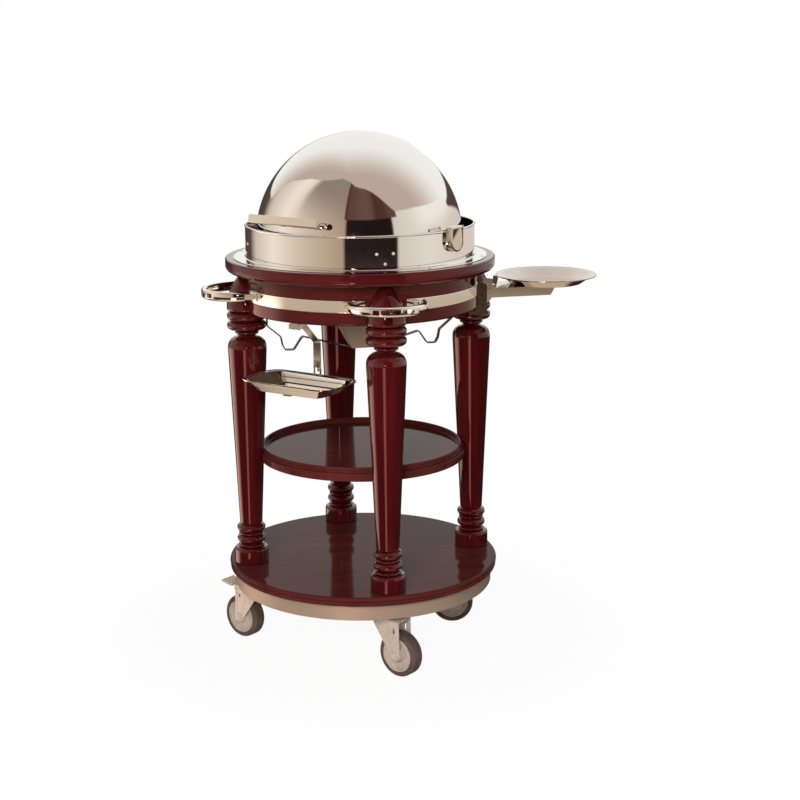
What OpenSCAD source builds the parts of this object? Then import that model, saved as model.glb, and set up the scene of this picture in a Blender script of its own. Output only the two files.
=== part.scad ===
// Round carving trolley with a roll-top dish, a plate holder and a hanging tray.
// Millimetres, +Z up, floor at z = 0, trolley axis on Z.
// The front leg is at -Y, the right leg at +X. An azimuth runs from -Y towards +X.

/* [Trolley] */
// Diameter of the wooden worktop
worktop_dia = 620; // [560:2:760]
// Height of the worktop's top face above the floor
worktop_height = 907; // [820:1:1100]
// Distance of the leg axes in from the worktop's edge
leg_inset = 44; // [42:0.5:50]
// How far the lower shelf reaches out past the leg axes
lower_shelf_overhang = 49; // [44:1:60]
// Height of the middle shelf's rim above the floor
middle_shelf_height = 464.5; // [400:0.5:560]
// Depth that the middle shelf is let into the legs
shelf_let_in = 7; // [5:0.5:12]

/* [Legs] */
// Radius of the large rings and of the head's widest part
leg_head_r = 45; // [42:0.5:55]
// Radius of the shaft at its shoulder
shaft_top_r = 44.5; // [38:0.5:45]
// Radius of the shaft above the lower rings
shaft_bottom_r = 26; // [22:0.5:30]
// Radius of the drum foot
foot_r = 39.5; // [35:0.5:44]

/* [Apron and base] */
// How far the apron's face stands out past the leg axes
apron_proud = 4; // [2:0.5:6]
// Thickness of the apron wall
apron_wall = 22; // [18:1:24]
// Height of the apron
apron_height = 89; // [74:1:108]
// Height of the polished band on the apron
apron_band_height = 27; // [20:1:32]
// Distance of the base band in from the lower shelf's edge
base_band_inset = 13; // [9:0.5:16]

/* [Roll-top dish] */
// Distance of the dish wall in from the worktop's edge
dish_inset = 47; // [42:0.5:50]
// Gap between the dish wall and the turning lid
lid_gap = 25; // [22:0.5:30]
// Step from the turning lid in to the fixed rear shell
shell_step = 3; // [2.5:0.1:4]
// Height of the lid's pivots above the worktop
pivot_height = 45; // [40:0.5:54]
// Depth of the water pan
pan_depth = 62; // [45:1:75]
// Thickness of the carving board
carving_board_t = 18; // [14:1:22]
// Direction that the lid opens towards
lid_heading = -51; // [-56:1:-46]
// Thickness of the shells
shell_t = 1.2; // [1:0.1:2]
// Length of the lid handle's bar
handle_bar_length = 200; // [160:5:220]

/* [Handles] */
// Outer radius of the half-ring handle
grip_r = 87; // [82:1:92]
// Height of the grip
grip_height = 22; // [18:1:26]

/* [Plate holder and tray] */
// Gap between the right leg's head and the round dish
plate_gap = 19; // [16:1:30]
// Diameter of the round dish
plate_dia = 238; // [210:2:240]
// Depth of the round dish
plate_depth = 20; // [14:1:26]
// Length of the hanging tray at its rim
tray_length = 242; // [200:2:248]
// Width of the hanging tray at its rim
tray_width = 138; // [110:2:142]
// Depth of the hanging tray
tray_depth = 24; // [18:1:32]

/* [Casters] */
// Diameter of the wheels
wheel_dia = 100; // [84:2:120]
// Height of the base board above the top of the wheels
caster_rise = 40; // [38:1:50]
// Width of the tyres
tyre_width = 32; // [26:1:32]
// Distance of the axle behind the swivel axis
caster_trail = 38; // [30:1:40]

/* [Hidden] */
$fn = 96;
// clearances
seat_gap = 0.25;
pin_gap = 0.05;

// longer than the trolley, for cutting planes
span = 2 * worktop_dia;

// casters and base
wheel_r = wheel_dia / 2;
fork_half = tyre_width / 2 + 6;
axle_r = 6;
kingpin_r = 6;
board_z = wheel_dia + caster_rise;
base_board_t = 31;
lower_shelf_t = 21;
lower_shelf_height = board_z + base_board_t + lower_shelf_t;
band_t = 1.5;
plate_z = board_z - 3;
fork_top = plate_z - 6.6;
brake_y = caster_trail + 8;
brake_z = fork_top - 11;
trail_front = 38;
trail_right = -105;
trail_back = 160;
trail_left = -142;

// circles that the pieces stand on, from the worktop's edge inwards
worktop_r = worktop_dia / 2;
leg_circle_r = worktop_r - leg_inset;
lower_shelf_r = leg_circle_r + lower_shelf_overhang;
base_band_r = lower_shelf_r - base_band_inset;
caster_circle_r = leg_circle_r - 8;
leg_azimuths = [0, 90, 180, 270];

// worktop and apron
worktop_t = 30;
worktop_under = worktop_height - worktop_t;
apron_r = leg_circle_r + apron_proud;
apron_z = worktop_under - apron_height;
apron_band_z = apron_z + 29;
apron_band_r = apron_r + 1.2;

// legs
shaft_z = lower_shelf_height + 97;
head_z = worktop_under;
shoulder_z = head_z - 173;
head_depth = 82;
head_curve = 110;

// dish
dish_body_r = worktop_r - dish_inset;
lid_r = dish_body_r - lid_gap;
rear_shell_r = lid_r - shell_step;
worktop_hole_r = dish_body_r - 13;
pivot_z = worktop_height + pivot_height;
rim_z = pivot_z + 30;
flange_t = 1.5;
skirt_step_z = worktop_height + 15;
pin_r = 4;
ear_x = lid_r - 2.2;
lid_low = 4;
lid_high = 111;
rear_low = 104;
pan_z = worktop_height + flange_t;
pan_t = 1.2;
pan_leg_gap = 3.8;
// the pan hangs between the leg heads, and its rim reaches out onto the flange
pan_r = leg_circle_r - head_radius(pan_depth - flange_t - worktop_t) - pan_leg_gap;
pan_rim_r = dish_body_r - 23.5;
carving_plate_t = 1.4;

// burner
strap_x = leg_circle_r - leg_head_r - 1.4;
holder_z = apron_z - 96;
holder_top = apron_z + 2;

// plate holder
arm_top = apron_z + 34;
arm_pin_y = apron_r - 7;
arm_pin_z = apron_z - 18;
arm_half = leg_head_r + 5;
plate_rim_y = leg_circle_r + leg_head_r + plate_gap;
plate_y = plate_rim_y + plate_dia / 2;

// hanging tray
tray_bottom = apron_z - 154;
tray_y = apron_r - 20.5;
hanger_y = apron_r - 91;
hanger_w = 20;

wood = [0.36, 0.1, 0.1];
steel = [0.8, 0.78, 0.75];
zinc = [0.7, 0.68, 0.62];

// ---- shared shapes ----

// turn a shape built at the front round the trolley axis
module at(azimuth) {
    rotate([0, 0, azimuth])
        children();
}

// a strip of sheet bent through the points of a 2D path, with mitred bends
function side(d) = [-d[1], d[0]] / norm(d);
function mitre(p, i) =
    let (a = side(p[max(i, 1)] - p[max(i, 1) - 1]),
         b = side(p[min(i + 1, len(p) - 1)] - p[min(i + 1, len(p) - 1) - 1]),
         n = (a + b) / norm(a + b))
    n / (n * a);
module strip_path(points, t) {
    last = len(points) - 1;
    polygon(concat([for (i = [0 : last]) points[i] + mitre(points, i) * t / 2],
                   [for (i = [last : -1 : 0]) points[i] - mitre(points, i) * t / 2]));
}

// a tapered box: a trapezoid along X cut by a trapezoid along Y
module flared_block(top_x, top_y, low_x, low_y, h) {
    intersection() {
        rotate([90, 0, 0])
            linear_extrude(height = top_y + 2, center = true)
                polygon([[-low_x / 2, 0], [low_x / 2, 0], [top_x / 2, h], [-top_x / 2, h]]);
        rotate([90, 0, 90])
            linear_extrude(height = top_x + 2, center = true)
                polygon([[-low_y / 2, 0], [low_y / 2, 0], [top_y / 2, h], [-top_y / 2, h]]);
    }
}

// rectangle with rounded corners
module round_rect(x, y, r) {
    square([x - 2 * r, y], center = true);
    square([x, y - 2 * r], center = true);
    for (i = [-1, 1], j = [-1, 1])
        translate([i * (x / 2 - r), j * (y / 2 - r)])
            circle(r = r, $fn = 32);
}

// ---- legs ----

// radius of the egg-shaped head at a depth d below the worktop
function head_radius(d) =
    leg_head_r - head_curve + sqrt(pow(head_curve, 2) - pow(head_depth - d, 2));

// outline of the head, grown by g where the apron is let in round it
module head_outline(g) {
    polygon(concat([[0, -head_depth - 6], [leg_head_r - 4 + g, -head_depth - 6],
                    [leg_head_r + g, -head_depth - 2]],
                   [for (i = [8 : -1 : 0]) [head_radius(head_depth * i / 8) + g, -head_depth * i / 8]],
                   [[0, 0]]));
}

// profile of a whole leg, from the lower shelf to the worktop
module leg_profile() {
    intersection() {
        translate([0, lower_shelf_height])
            square([leg_head_r + 10, worktop_under - lower_shelf_height]);
        union() {
            // drum foot
            translate([0, lower_shelf_height]) {
                square([foot_r - 2, 26]);
                translate([0, 2])
                    square([foot_r, 24]);
                translate([foot_r - 13, 26])
                    circle(r = 13);
                square([foot_r - 13, 39]);
                // lower rings on a narrow neck
                square([shaft_bottom_r, 98]);
                translate([shaft_bottom_r + 1, 42])
                    circle(r = 3.2);
                translate([shaft_bottom_r - 2, 58])
                    circle(r = 9);
                translate([shaft_bottom_r, 71])
                    circle(r = 3.2);
                translate([shaft_bottom_r - 2, 84])
                    circle(r = 9);
            }
            // tapered shaft
            polygon([[0, shaft_z], [shaft_bottom_r, shaft_z],
                     [shaft_top_r, shoulder_z], [0, shoulder_z]]);
            // shoulder
            translate([shaft_top_r - 26, shoulder_z])
                circle(r = 26);
            square_to(shaft_top_r - 26, shoulder_z, shoulder_z + 26);
            // neck with a small bead, and two large rings
            square_to(24, shoulder_z, head_z - 90);
            translate([23, head_z - 138])
                circle(r = 4);
            translate([leg_head_r - 10, head_z - 121.5])
                circle(r = 10);
            square_to(leg_head_r - 10, head_z - 131, head_z - 90);
            translate([leg_head_r - 10, head_z - 99.5])
                circle(r = 10);
            square_to(leg_head_r - 6, head_z - 96, head_z - 86);
            translate([0, head_z])
                head_outline(0);
        }
    }
}

module square_to(r, z0, z1) {
    translate([0, z0])
        square([r, z1 - z0]);
}

module leg_at(azimuth) {
    at(azimuth)
        translate([0, -leg_circle_r, 0])
            rotate_extrude()
                leg_profile();
}

// radius of the shaft at a height
function shaft_radius(z) =
    shaft_bottom_r + (shaft_top_r - shaft_bottom_r) * (z - shaft_z) / (shoulder_z - shaft_z);

module leg_front() { color(wood) leg_at(0); }
module leg_right() { color(wood) leg_at(90); }
module leg_back() { color(wood) leg_at(180); }
module leg_left() { color(wood) leg_at(270); }

// ---- shelves and worktop ----

module lower_shelf() {
    r = lower_shelf_r;
    color(wood)
        translate([0, 0, lower_shelf_height - lower_shelf_t])
            rotate_extrude() {
                square([r - 9, lower_shelf_t]);
                translate([r - 8.5, 8.5])
                    circle(r = 8.5);
                square([r - 8.5, 8]);
            }
}

module middle_shelf() {
    z0 = middle_shelf_height - 31;
    r = leg_circle_r - shaft_radius(z0) + shelf_let_in;
    color(wood)
        difference() {
            translate([0, 0, z0])
                rotate_extrude() {
                    square([r - 1.5, 19]);
                    translate([0, 2])
                        square([r, 16]);
                    // raised bead with a stepped foot
                    translate([r - 14, 0])
                        square([9, 26]);
                    translate([r - 14, 0])
                        square([12, 21]);
                    translate([r - 9.5, 26])
                        circle(r = 4.5);
                }
            for (a = leg_azimuths)
                at(a)
                    translate([0, -leg_circle_r, z0 - 1])
                        cylinder(h = 34, r1 = shaft_radius(z0 - 1) + seat_gap,
                                 r2 = shaft_radius(z0 + 33) + seat_gap);
        }
}

module worktop() {
    color(wood)
        translate([0, 0, worktop_under])
            rotate_extrude() {
                translate([worktop_hole_r, 0])
                    square([worktop_r - 12 - worktop_hole_r, worktop_t]);
                translate([worktop_r - 8, worktop_t - 8])
                    circle(r = 8);
                translate([worktop_r - 12, 12])
                    circle(r = 12);
                translate([worktop_r - 14, 12])
                    square([14, worktop_t - 20]);
                translate([worktop_r - 14, worktop_t - 8])
                    square([6, 8]);
            }
}

module apron() {
    color(wood)
        difference() {
            translate([0, 0, apron_z])
                rotate_extrude()
                    difference() {
                        translate([apron_r - apron_wall, 0])
                            square([apron_wall, apron_height]);
                        // shallow groove that the band sits in
                        translate([apron_r - 0.8, 29])
                            square([2, apron_band_height + 0.2]);
                    }
            for (a = leg_azimuths)
                at(a)
                    translate([0, -leg_circle_r, head_z])
                        rotate_extrude()
                            union() {
                                head_outline(seat_gap);
                                translate([0, -head_depth - apron_height])
                                    square([leg_head_r + seat_gap, apron_height - 1]);
                            }
        }
}

module apron_band() {
    color(steel)
        difference() {
            translate([0, 0, apron_band_z])
                rotate_extrude()
                    translate([apron_r - 0.8 + seat_gap, 0])
                        square([2 - seat_gap, apron_band_height]);
            for (a = leg_azimuths)
                at(a)
                    translate([0, -leg_circle_r, apron_band_z - 1])
                        cylinder(r = leg_head_r + 1, h = apron_band_height + 2);
        }
}

module base_band() {
    color(steel)
        translate([0, 0, board_z - 4])
            rotate_extrude() {
                translate([base_band_r - band_t, 0])
                    square([band_t, base_board_t + 4]);
                translate([base_band_r - 5, 0])
                    square([5, band_t]);
            }
}

module base_board() {
    color([0.5, 0.38, 0.26])
        translate([0, 0, board_z])
            cylinder(r = base_band_r - band_t - seat_gap, h = base_board_t);
}

// ---- half-ring handles ----

module grip_slots(count, pitch) {
    for (i = [0 : count - 1])
        rotate([0, 0, (i - (count - 1) / 2) * pitch])
            translate([-9, -grip_r - 5, -grip_height * 0.23])
                cube([18, 30, grip_height * 0.46]);
}

module handle_at(azimuth) {
    ring_y = leg_circle_r + 15;
    inner_r = grip_r - 13;
    color(steel)
        at(azimuth)
            translate([0, 0, apron_band_z + apron_band_height / 2 + 2.5])
                difference() {
                    translate([0, -ring_y, 0])
                        difference() {
                            union() {
                                // grip with an oval section, front half only
                                difference() {
                                    rotate_extrude() {
                                        translate([inner_r, -grip_height / 2 + 6])
                                            square([13, grip_height - 12]);
                                        for (s = [-1, 1])
                                            translate([inner_r + 6.5, s * (grip_height / 2 - 6)])
                                                circle(r = 6.5, $fn = 32);
                                    }
                                    translate([-span / 2, 0, -50])
                                        cube([span, span, 100]);
                                }
                                // arms back to the apron and their feet
                                for (s = [-1, 1]) {
                                    translate([s * (inner_r + 6.5) - 4.5, 0, -7])
                                        cube([9, 40, 14]);
                                    translate([s * (inner_r - 4) - 15, 9, -10])
                                        cube([30, 20, 20]);
                                }
                            }
                            grip_slots(5, 15.5);
                        }
                    // hollow of the apron and its band
                    translate([0, 0, -50])
                        cylinder(r = apron_band_r + seat_gap, h = 100);
                }
}

module handle_front() { handle_at(0); }
module handle_back() { handle_at(180); }
module handle_left() { handle_at(270); }

// ---- roll-top dish ----

module dish_flange() {
    color(steel)
        translate([0, 0, worktop_height])
            rotate_extrude()
                translate([dish_body_r - 30, 0])
                    square([58, flange_t]);
}

module dish_body() {
    r = dish_body_r;
    color(steel)
        difference() {
            rotate_extrude() {
                translate([r - 1.5, worktop_height + flange_t])
                    square([1.5, rim_z - 2 - worktop_height - flange_t]);
                translate([r - 1.2, rim_z - 2.2])
                    circle(r = 2.2, $fn = 32);
            }
            at(lid_heading)
                translate([0, 0, pivot_z])
                    rotate([0, 90, 0])
                        cylinder(r = pin_r + pin_gap, h = 2 * r + 10, center = true, $fn = 48);
        }
}

// wedge of a shell between two angles above the opening side
module shell_wedge(r, low, high) {
    intersection() {
        difference() {
            sphere(r = r, $fn = 128);
            sphere(r = r - shell_t, $fn = 128);
        }
        rotate([-low, 0, 0])
            translate([-span / 2, -span / 2, 0])
                cube([span, span, span]);
        rotate([-high, 0, 0])
            translate([-span / 2, -span / 2, -span])
                cube([span, span, span]);
    }
}

module lid() {
    color(steel)
        at(lid_heading)
            translate([0, 0, pivot_z])
                difference() {
                    union() {
                        shell_wedge(lid_r, lid_low, lid_high);
                        for (s = [-1, 1])
                            translate([s * ear_x, 0, 0])
                                rotate([0, s * 90, 0])
                                    cylinder(r = 16, h = 1.6, $fn = 64);
                    }
                    rotate([0, 90, 0])
                        cylinder(r = pin_r + pin_gap, h = 2 * lid_r + 20, center = true, $fn = 48);
                }
}

// the rear half of the dome with a skirt, which steps out and stands on the flange
module rear_shell() {
    foot_r = pan_rim_r + 2.5;
    r = rear_shell_r;
    color(steel)
        at(lid_heading)
            difference() {
                union() {
                    translate([0, 0, pivot_z])
                        intersection() {
                            difference() {
                                sphere(r = r, $fn = 128);
                                sphere(r = r - shell_t, $fn = 128);
                            }
                            translate([-span / 2, -span / 2, 0])
                                cube([span, span, span]);
                            rotate([-rear_low, 0, 0])
                                translate([-span / 2, -span / 2, 0])
                                    cube([span, span, span]);
                        }
                    intersection() {
                        rotate_extrude() {
                            translate([r - shell_t, skirt_step_z])
                                square([shell_t, pivot_z - skirt_step_z]);
                            translate([r - shell_t, skirt_step_z])
                                square([foot_r - r + shell_t, shell_t]);
                            translate([foot_r - shell_t, pan_z])
                                square([shell_t, skirt_step_z - pan_z + shell_t]);
                        }
                        translate([-span / 2, 0, 0])
                            cube([span, span, 2 * worktop_height]);
                    }
                }
                translate([0, 0, pivot_z])
                    rotate([0, 90, 0])
                        cylinder(r = 9, h = 2 * lid_r + 20, center = true, $fn = 48);
            }
}

module pivot_pins() {
    color(zinc)
        at(lid_heading)
            translate([0, 0, pivot_z])
                for (s = [-1, 1])
                    rotate([0, s * 90, 0]) {
                        translate([0, 0, ear_x - 2.6])
                            cylinder(r = pin_r, h = dish_body_r - ear_x + 2.6, $fn = 48);
                        translate([0, 0, ear_x - 2.6])
                            cylinder(r = 7, h = 2.2, $fn = 48);
                        translate([0, 0, ear_x + 2.7])
                            cylinder(r = 6.5, h = dish_body_r - ear_x - 4.5, $fn = 48);
                    }
}

// outline of the pivot cover, a U with an open, flared top, drawn g smaller
module cover_outline(g) {
    w = 48;
    translate([0, -2])
        circle(r = w / 2 - g);
    translate([-w / 2 + g, -2])
        square([w - 2 * g, 28]);
    translate([-w / 2 + 5, 20])
        square([w - 10, 11 - g]);
    for (s = [-1, 1])
        translate([s * (w / 2 - 5), 26])
            circle(r = 5 - g, $fn = 32);
}

module pivot_cover(side) {
    wall = 1.6;
    depth = 14;
    color(steel)
        at(lid_heading)
            difference() {
                translate([0, 0, pivot_z + 8])
                    rotate([90, 0, side * 90])
                        translate([0, 0, dish_body_r - 12])
                            difference() {
                                linear_extrude(height = depth + 12)
                                    cover_outline(0);
                                translate([0, 0, -1])
                                    linear_extrude(height = depth + 13 - wall)
                                        cover_outline(wall);
                            }
                translate([0, 0, pivot_z - 60])
                    cylinder(r = dish_body_r + seat_gap, h = 90);
                // relief over the rolled rim
                translate([0, 0, rim_z - 8])
                    cylinder(r = dish_body_r + 1.6, h = 40);
            }
}

module pivot_cover_right() { pivot_cover(1); }
module pivot_cover_left() { pivot_cover(-1); }

module lid_handle() {
    a = 12.3;
    reach = lid_r + 30;
    post_x = handle_bar_length / 2 - 7;
    post = reach - sqrt(pow(lid_r, 2) - pow(post_x, 2)) + 3;
    color(steel)
        at(lid_heading)
            translate([0, 0, pivot_z])
                difference() {
                    rotate([-a, 0, 0])
                        translate([0, -reach, 0]) {
                            // flat bar with rounded long edges
                            rotate([0, 90, 0])
                                linear_extrude(height = handle_bar_length, center = true)
                                    round_rect(20, 9, 3.5);
                            for (s = [-1, 1])
                                translate([s * post_x, 0, 0])
                                    rotate([-90, 0, 0]) {
                                        cylinder(r = 5, h = post, $fn = 48);
                                        translate([0, 0, -5.5])
                                            cylinder(r = 8, h = 3, $fn = 48);
                                    }
                        }
                    sphere(r = lid_r + seat_gap, $fn = 128);
                }
}

module body_rivets() {
    color(zinc)
        for (a = leg_azimuths)
            for (p = [[-4, 36], [4, 36], [0, 14]])
                at(a + p[0])
                    translate([0, -dish_body_r - 0.15, worktop_height + p[1]])
                        rotate([90, 0, 0])
                            cylinder(r = 3.3, h = 1.3, $fn = 32);
}

module flange_screws() {
    color(zinc)
        for (i = [0 : 7])
            at(20 + 45 * i)
                translate([0, -dish_body_r - 21, worktop_height + flange_t])
                    cylinder(r = 3, h = 1.3, $fn = 32);
}

module water_pan() {
    corner = 8;
    color(steel)
        rotate_extrude() {
            translate([pan_r - pan_t, pan_z])
                square([pan_rim_r - pan_r + pan_t, pan_t]);
            translate([pan_r - pan_t, pan_z - pan_depth + corner])
                square([pan_t, pan_depth - corner + pan_t]);
            translate([0, pan_z - pan_depth])
                square([pan_r - corner, pan_t]);
            // rounded corner between wall and floor
            translate([pan_r - corner, pan_z - pan_depth + corner])
                intersection() {
                    difference() {
                        circle(r = corner, $fn = 48);
                        circle(r = corner - pan_t, $fn = 48);
                    }
                    translate([0, -corner - 2])
                        square([corner + 2, corner + 2]);
                }
        }
}

module carving_plate() {
    color(steel)
        translate([0, 0, pan_z + pan_t])
            difference() {
                cylinder(r = pan_rim_r - 7.5, h = carving_plate_t);
                translate([0, 0, -1])
                    cylinder(r = pan_r - 80, h = 4);
            }
}

module carving_board() {
    r = pan_r - 18;
    color([0.78, 0.62, 0.42])
        translate([0, 0, pan_z + pan_t + carving_plate_t])
            difference() {
                cylinder(r = r, h = carving_board_t);
                // juice groove
                translate([0, 0, carving_board_t])
                    rotate_extrude()
                        translate([r - 18, 0])
                            circle(r = 5, $fn = 32);
            }
}

// ---- burner under the dish ----

module burner_strap() {
    half = [[strap_x, apron_z - 2], [strap_x, apron_z - 38], [strap_x - 31.6, apron_z - 65],
            [strap_x - 35.1, apron_z - 84], [strap_x - 41.6, apron_z - 96],
            [strap_x - 61.6, apron_z - 96], [strap_x - 81.6, apron_z - 66], [28, holder_z - 1]];
    path = concat([for (p = half) [-p[0], p[1]]],
                  [for (i = [len(half) - 1 : -1 : 0]) half[i]]);
    color(steel)
        rotate([90, 0, 0])
            linear_extrude(height = 14, center = true)
                strip_path(path, 2);
}

module burner_holder() {
    t = 1.5;
    recess = 0.7;
    frame_w = 7;
    h = holder_top - holder_z;
    top = [150, 130];
    low = [50, 50];
    color(steel)
        translate([0, 0, holder_z])
            difference() {
                flared_block(top[0], top[1], low[0], low[1], h);
                translate([0, 0, t])
                    flared_block(top[0] + 0.8, top[1] + 0.8, low[0] - 2 * t, low[1] - 2 * t, h);
                // recessed panel in each side, with a frame left round it
                for (i = [0, 1])
                    intersection() {
                        rotate([90, 0, i * 90])
                            linear_extrude(height = 200, center = true)
                                polygon([[frame_w - low[i] / 2, frame_w], [low[i] / 2 - frame_w, frame_w],
                                         [top[i] / 2 - frame_w - 4, h - frame_w],
                                         [4 + frame_w - top[i] / 2, h - frame_w]]);
                        difference() {
                            translate([-span / 2, -span / 2, 1])
                                cube([span, span, h]);
                            flared_block(top[0] - 2 * recess, top[1] - 2 * recess,
                                         low[0] - 2 * recess, low[1] - 2 * recess, h);
                        }
                    }
            }
}

module burner() {
    r = 40;
    color(zinc)
        translate([0, 0, holder_z + 34.9])
            difference() {
                union() {
                    cylinder(r1 = r - 4, r2 = r, h = 6);
                    translate([0, 0, 6])
                        cylinder(r = r, h = 30);
                    translate([0, 0, 36])
                        cylinder(r1 = r, r2 = r - 5, h = 4);
                    translate([0, 0, 40])
                        cylinder(r = 20, h = 7);
                }
                translate([0, 0, 39])
                    cylinder(r = 17, h = 20);
            }
}

// ---- hanging tray ----

module tray_hanger() {
    color(steel)
        at(-45) {
            difference() {
                rotate([90, 0, -90])
                    linear_extrude(height = hanger_w, center = true)
                        strip_path([[apron_r - 8, apron_z - 1], [apron_r - 30, apron_z - 1],
                                    [hanger_y, apron_z - 57], [hanger_y, tray_bottom - 1],
                                    [tray_y + 50, tray_bottom - 1]], 2);
                // window above the tray
                translate([-hanger_w / 2 + 4, -hanger_y - 10, tray_bottom + 18])
                    cube([hanger_w - 8, 20, 22]);
            }
            // tongue that is bent inwards out of the window
            rotate([90, 0, -90])
                linear_extrude(height = hanger_w - 9, center = true)
                    strip_path([[hanger_y, tray_bottom + 41], [hanger_y - 5, tray_bottom + 39],
                                [hanger_y - 8, tray_bottom + 34], [hanger_y - 8, tray_bottom + 29]], 1.6);
            // block that clamps the strip under the apron
            translate([-13, 2 - apron_r, apron_z - 13])
                cube([26, 20, 11]);
        }
}

module tray() {
    t = 1.2;
    low_x = tray_length - 66;
    low_y = tray_width - 38;
    color(steel)
        at(-45)
            translate([0, -tray_y, tray_bottom])
                difference() {
                    union() {
                        flared_block(tray_length - 14, tray_width - 14, low_x, low_y, tray_depth);
                        translate([0, 0, tray_depth - 1.6])
                            linear_extrude(height = 1.6)
                                round_rect(tray_length, tray_width, 14);
                        translate([0, 0, tray_depth])
                            linear_extrude(height = 1.6)
                                difference() {
                                    round_rect(tray_length, tray_width, 14);
                                    round_rect(tray_length - 5, tray_width - 5, 12);
                                }
                    }
                    translate([0, 0, t])
                        flared_block(tray_length - 14, tray_width - 14,
                                     low_x - 3, low_y - 3, tray_depth + 0.01);
                }
}

// ---- plate holder, built at the front and turned to the right leg ----

module plate_bracket() {
    x = arm_half + 0.4;
    t = 3;
    out_y = apron_r + 19;
    corner = 22;
    color(steel)
        at(90)
            for (s = [-1, 1]) {
                // cheek with a rounded upper corner, from the band to below the apron
                difference() {
                    translate([s * (x + t / 2), 0, 0])
                        rotate([90, 0, 90])
                            linear_extrude(height = t, center = true) {
                                translate([-out_y, arm_pin_z - 8])
                                    square([2 * corner, 51]);
                                translate([corner - out_y, arm_pin_z + 43])
                                    circle(r = corner);
                            }
                    translate([0, 0, apron_z - seat_gap])
                        cylinder(r = apron_band_r + seat_gap, h = 100);
                }
                // foot plate on the band
                difference() {
                    intersection() {
                        translate([s * (x + 14) - 14, -apron_r - 30, apron_band_z + 3])
                            cube([28, 60, 20]);
                        cylinder(r = apron_band_r + 3.4, h = 900);
                    }
                    cylinder(r = apron_band_r + seat_gap, h = 900);
                }
                // pivot pin, its head and two rivets
                translate([s * (arm_half - 2.8), -arm_pin_y, arm_pin_z])
                    rotate([0, s * 90, 0])
                        cylinder(r = 4, h = 5, $fn = 48);
                translate([s * (x + t - 0.5), -arm_pin_y, arm_pin_z])
                    rotate([0, s * 90, 0])
                        cylinder(r = 6.5, h = 3, $fn = 48);
                for (h = [36, 54])
                    translate([s * (x + t - 0.5), -apron_r - 8, arm_pin_z + h])
                        rotate([0, s * 90, 0])
                            cylinder(r = 3.5, h = 2.4, $fn = 32);
            }
}

module plate_arm() {
    y1 = plate_y + 8;
    inner = sqrt(pow(apron_band_r, 2) - pow(arm_half, 2)) + 2;
    web_y = leg_circle_r + leg_head_r + 4;
    t = 2;
    color(steel)
        at(90)
            difference() {
                union() {
                    // side plates: a slanted open end, and a leg down to the pivot
                    for (s = [-1, 1])
                        translate([s * (arm_half - t / 2), 0, 0])
                            rotate([90, 0, 90])
                                linear_extrude(height = t, center = true) {
                                    polygon([[-y1, arm_top], [-y1 + 12, arm_top - 22],
                                             [-apron_r - 32, arm_top - 22], [-arm_pin_y - 8, arm_pin_z - 4],
                                             [-arm_pin_y, arm_pin_z], [-inner, arm_pin_z + 8],
                                             [-inner, arm_top]]);
                                    translate([-arm_pin_y, arm_pin_z])
                                        circle(r = 9, $fn = 48);
                                }
                    // web, from in front of the leg to the end
                    translate([-arm_half, -y1, arm_top - 1.5])
                        cube([2 * arm_half, y1 - web_y, 1.5]);
                }
                translate([0, -arm_pin_y, arm_pin_z])
                    rotate([0, 90, 0])
                        cylinder(r = 4 + pin_gap, h = 200, center = true, $fn = 48);
            }
}

module plate_clip() {
    color(steel)
        at(90) {
            // ears inside the side plates, beside the leg
            for (s = [-1, 1])
                translate([s * (arm_half - 3), 0, 0])
                    rotate([90, 0, 90])
                        linear_extrude(height = 2, center = true)
                            translate([-apron_r, arm_top])
                                polygon([[-31, -20], [-7, -20], [-10, 26], [-34, 22]]);
            // tab at the rim of the dish
            rotate([90, 0, 90])
                linear_extrude(height = 34, center = true)
                    translate([-plate_rim_y, arm_top])
                        polygon([[14, 0], [8, 0], [2.5, 20], [4.5, 21], [9.5, 2], [14, 2]]);
        }
}

module round_dish() {
    r = plate_dia / 2;
    d = plate_depth;
    low = r - 35;
    t = 1.2;
    color(steel)
        at(90)
            translate([0, -plate_y, arm_top])
                rotate_extrude() {
                    square([low, t]);
                    polygon([[low - 1, 0], [low + 0.5, 0], [r - 10, d - 2], [r - 10, d], [r - 11.2, d],
                             [low - 1, t]]);
                    translate([r - 11, d - t])
                        square([10, t]);
                    translate([r - 1.6, d - 0.6])
                        circle(r = 1.6, $fn = 24);
                }
}

// ---- casters, built at the swivel axis with the wheel trailing towards -Y ----

module caster_at(leg, trail) {
    at(leg)
        translate([0, -caster_circle_r, 0])
            rotate([0, 0, trail - leg])
                children();
}

module caster_plate(leg, trail) {
    color(zinc)
        at(leg)
            translate([0, -caster_circle_r, 0]) {
                translate([0, 0, plate_z])
                    linear_extrude(height = 3)
                        round_rect(92, 66, 8);
                translate([0, 0, plate_z - 6])
                    cylinder(r = 30, h = 6.5);
                // swivel pin with its riveted head under the fork crown
                translate([0, 0, fork_top - 4])
                    cylinder(r = kingpin_r, h = 10, $fn = 48);
                translate([0, 0, fork_top - 8.6])
                    cylinder(r = 10, h = 5, $fn = 48);
                for (i = [-1, 1], j = [-1, 1])
                    translate([i * 37, j * 24, plate_z - 4])
                        cylinder(r = 6, h = 4.5, $fn = 6);
            }
}

module fork_cheek() {
    difference() {
        union() {
            polygon([[-24, fork_top], [caster_trail + 10, fork_top],
                     [caster_trail + 12, wheel_r + 1], [caster_trail - 9, wheel_r - 8],
                     [-24, fork_top - 14]]);
            translate([caster_trail, wheel_r])
                circle(r = 12);
        }
        // upright slot over the axle
        translate([caster_trail - 6, fork_top - 31])
            square([5, 13]);
        translate([caster_trail, wheel_r])
            circle(r = axle_r + pin_gap);
    }
}

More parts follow.
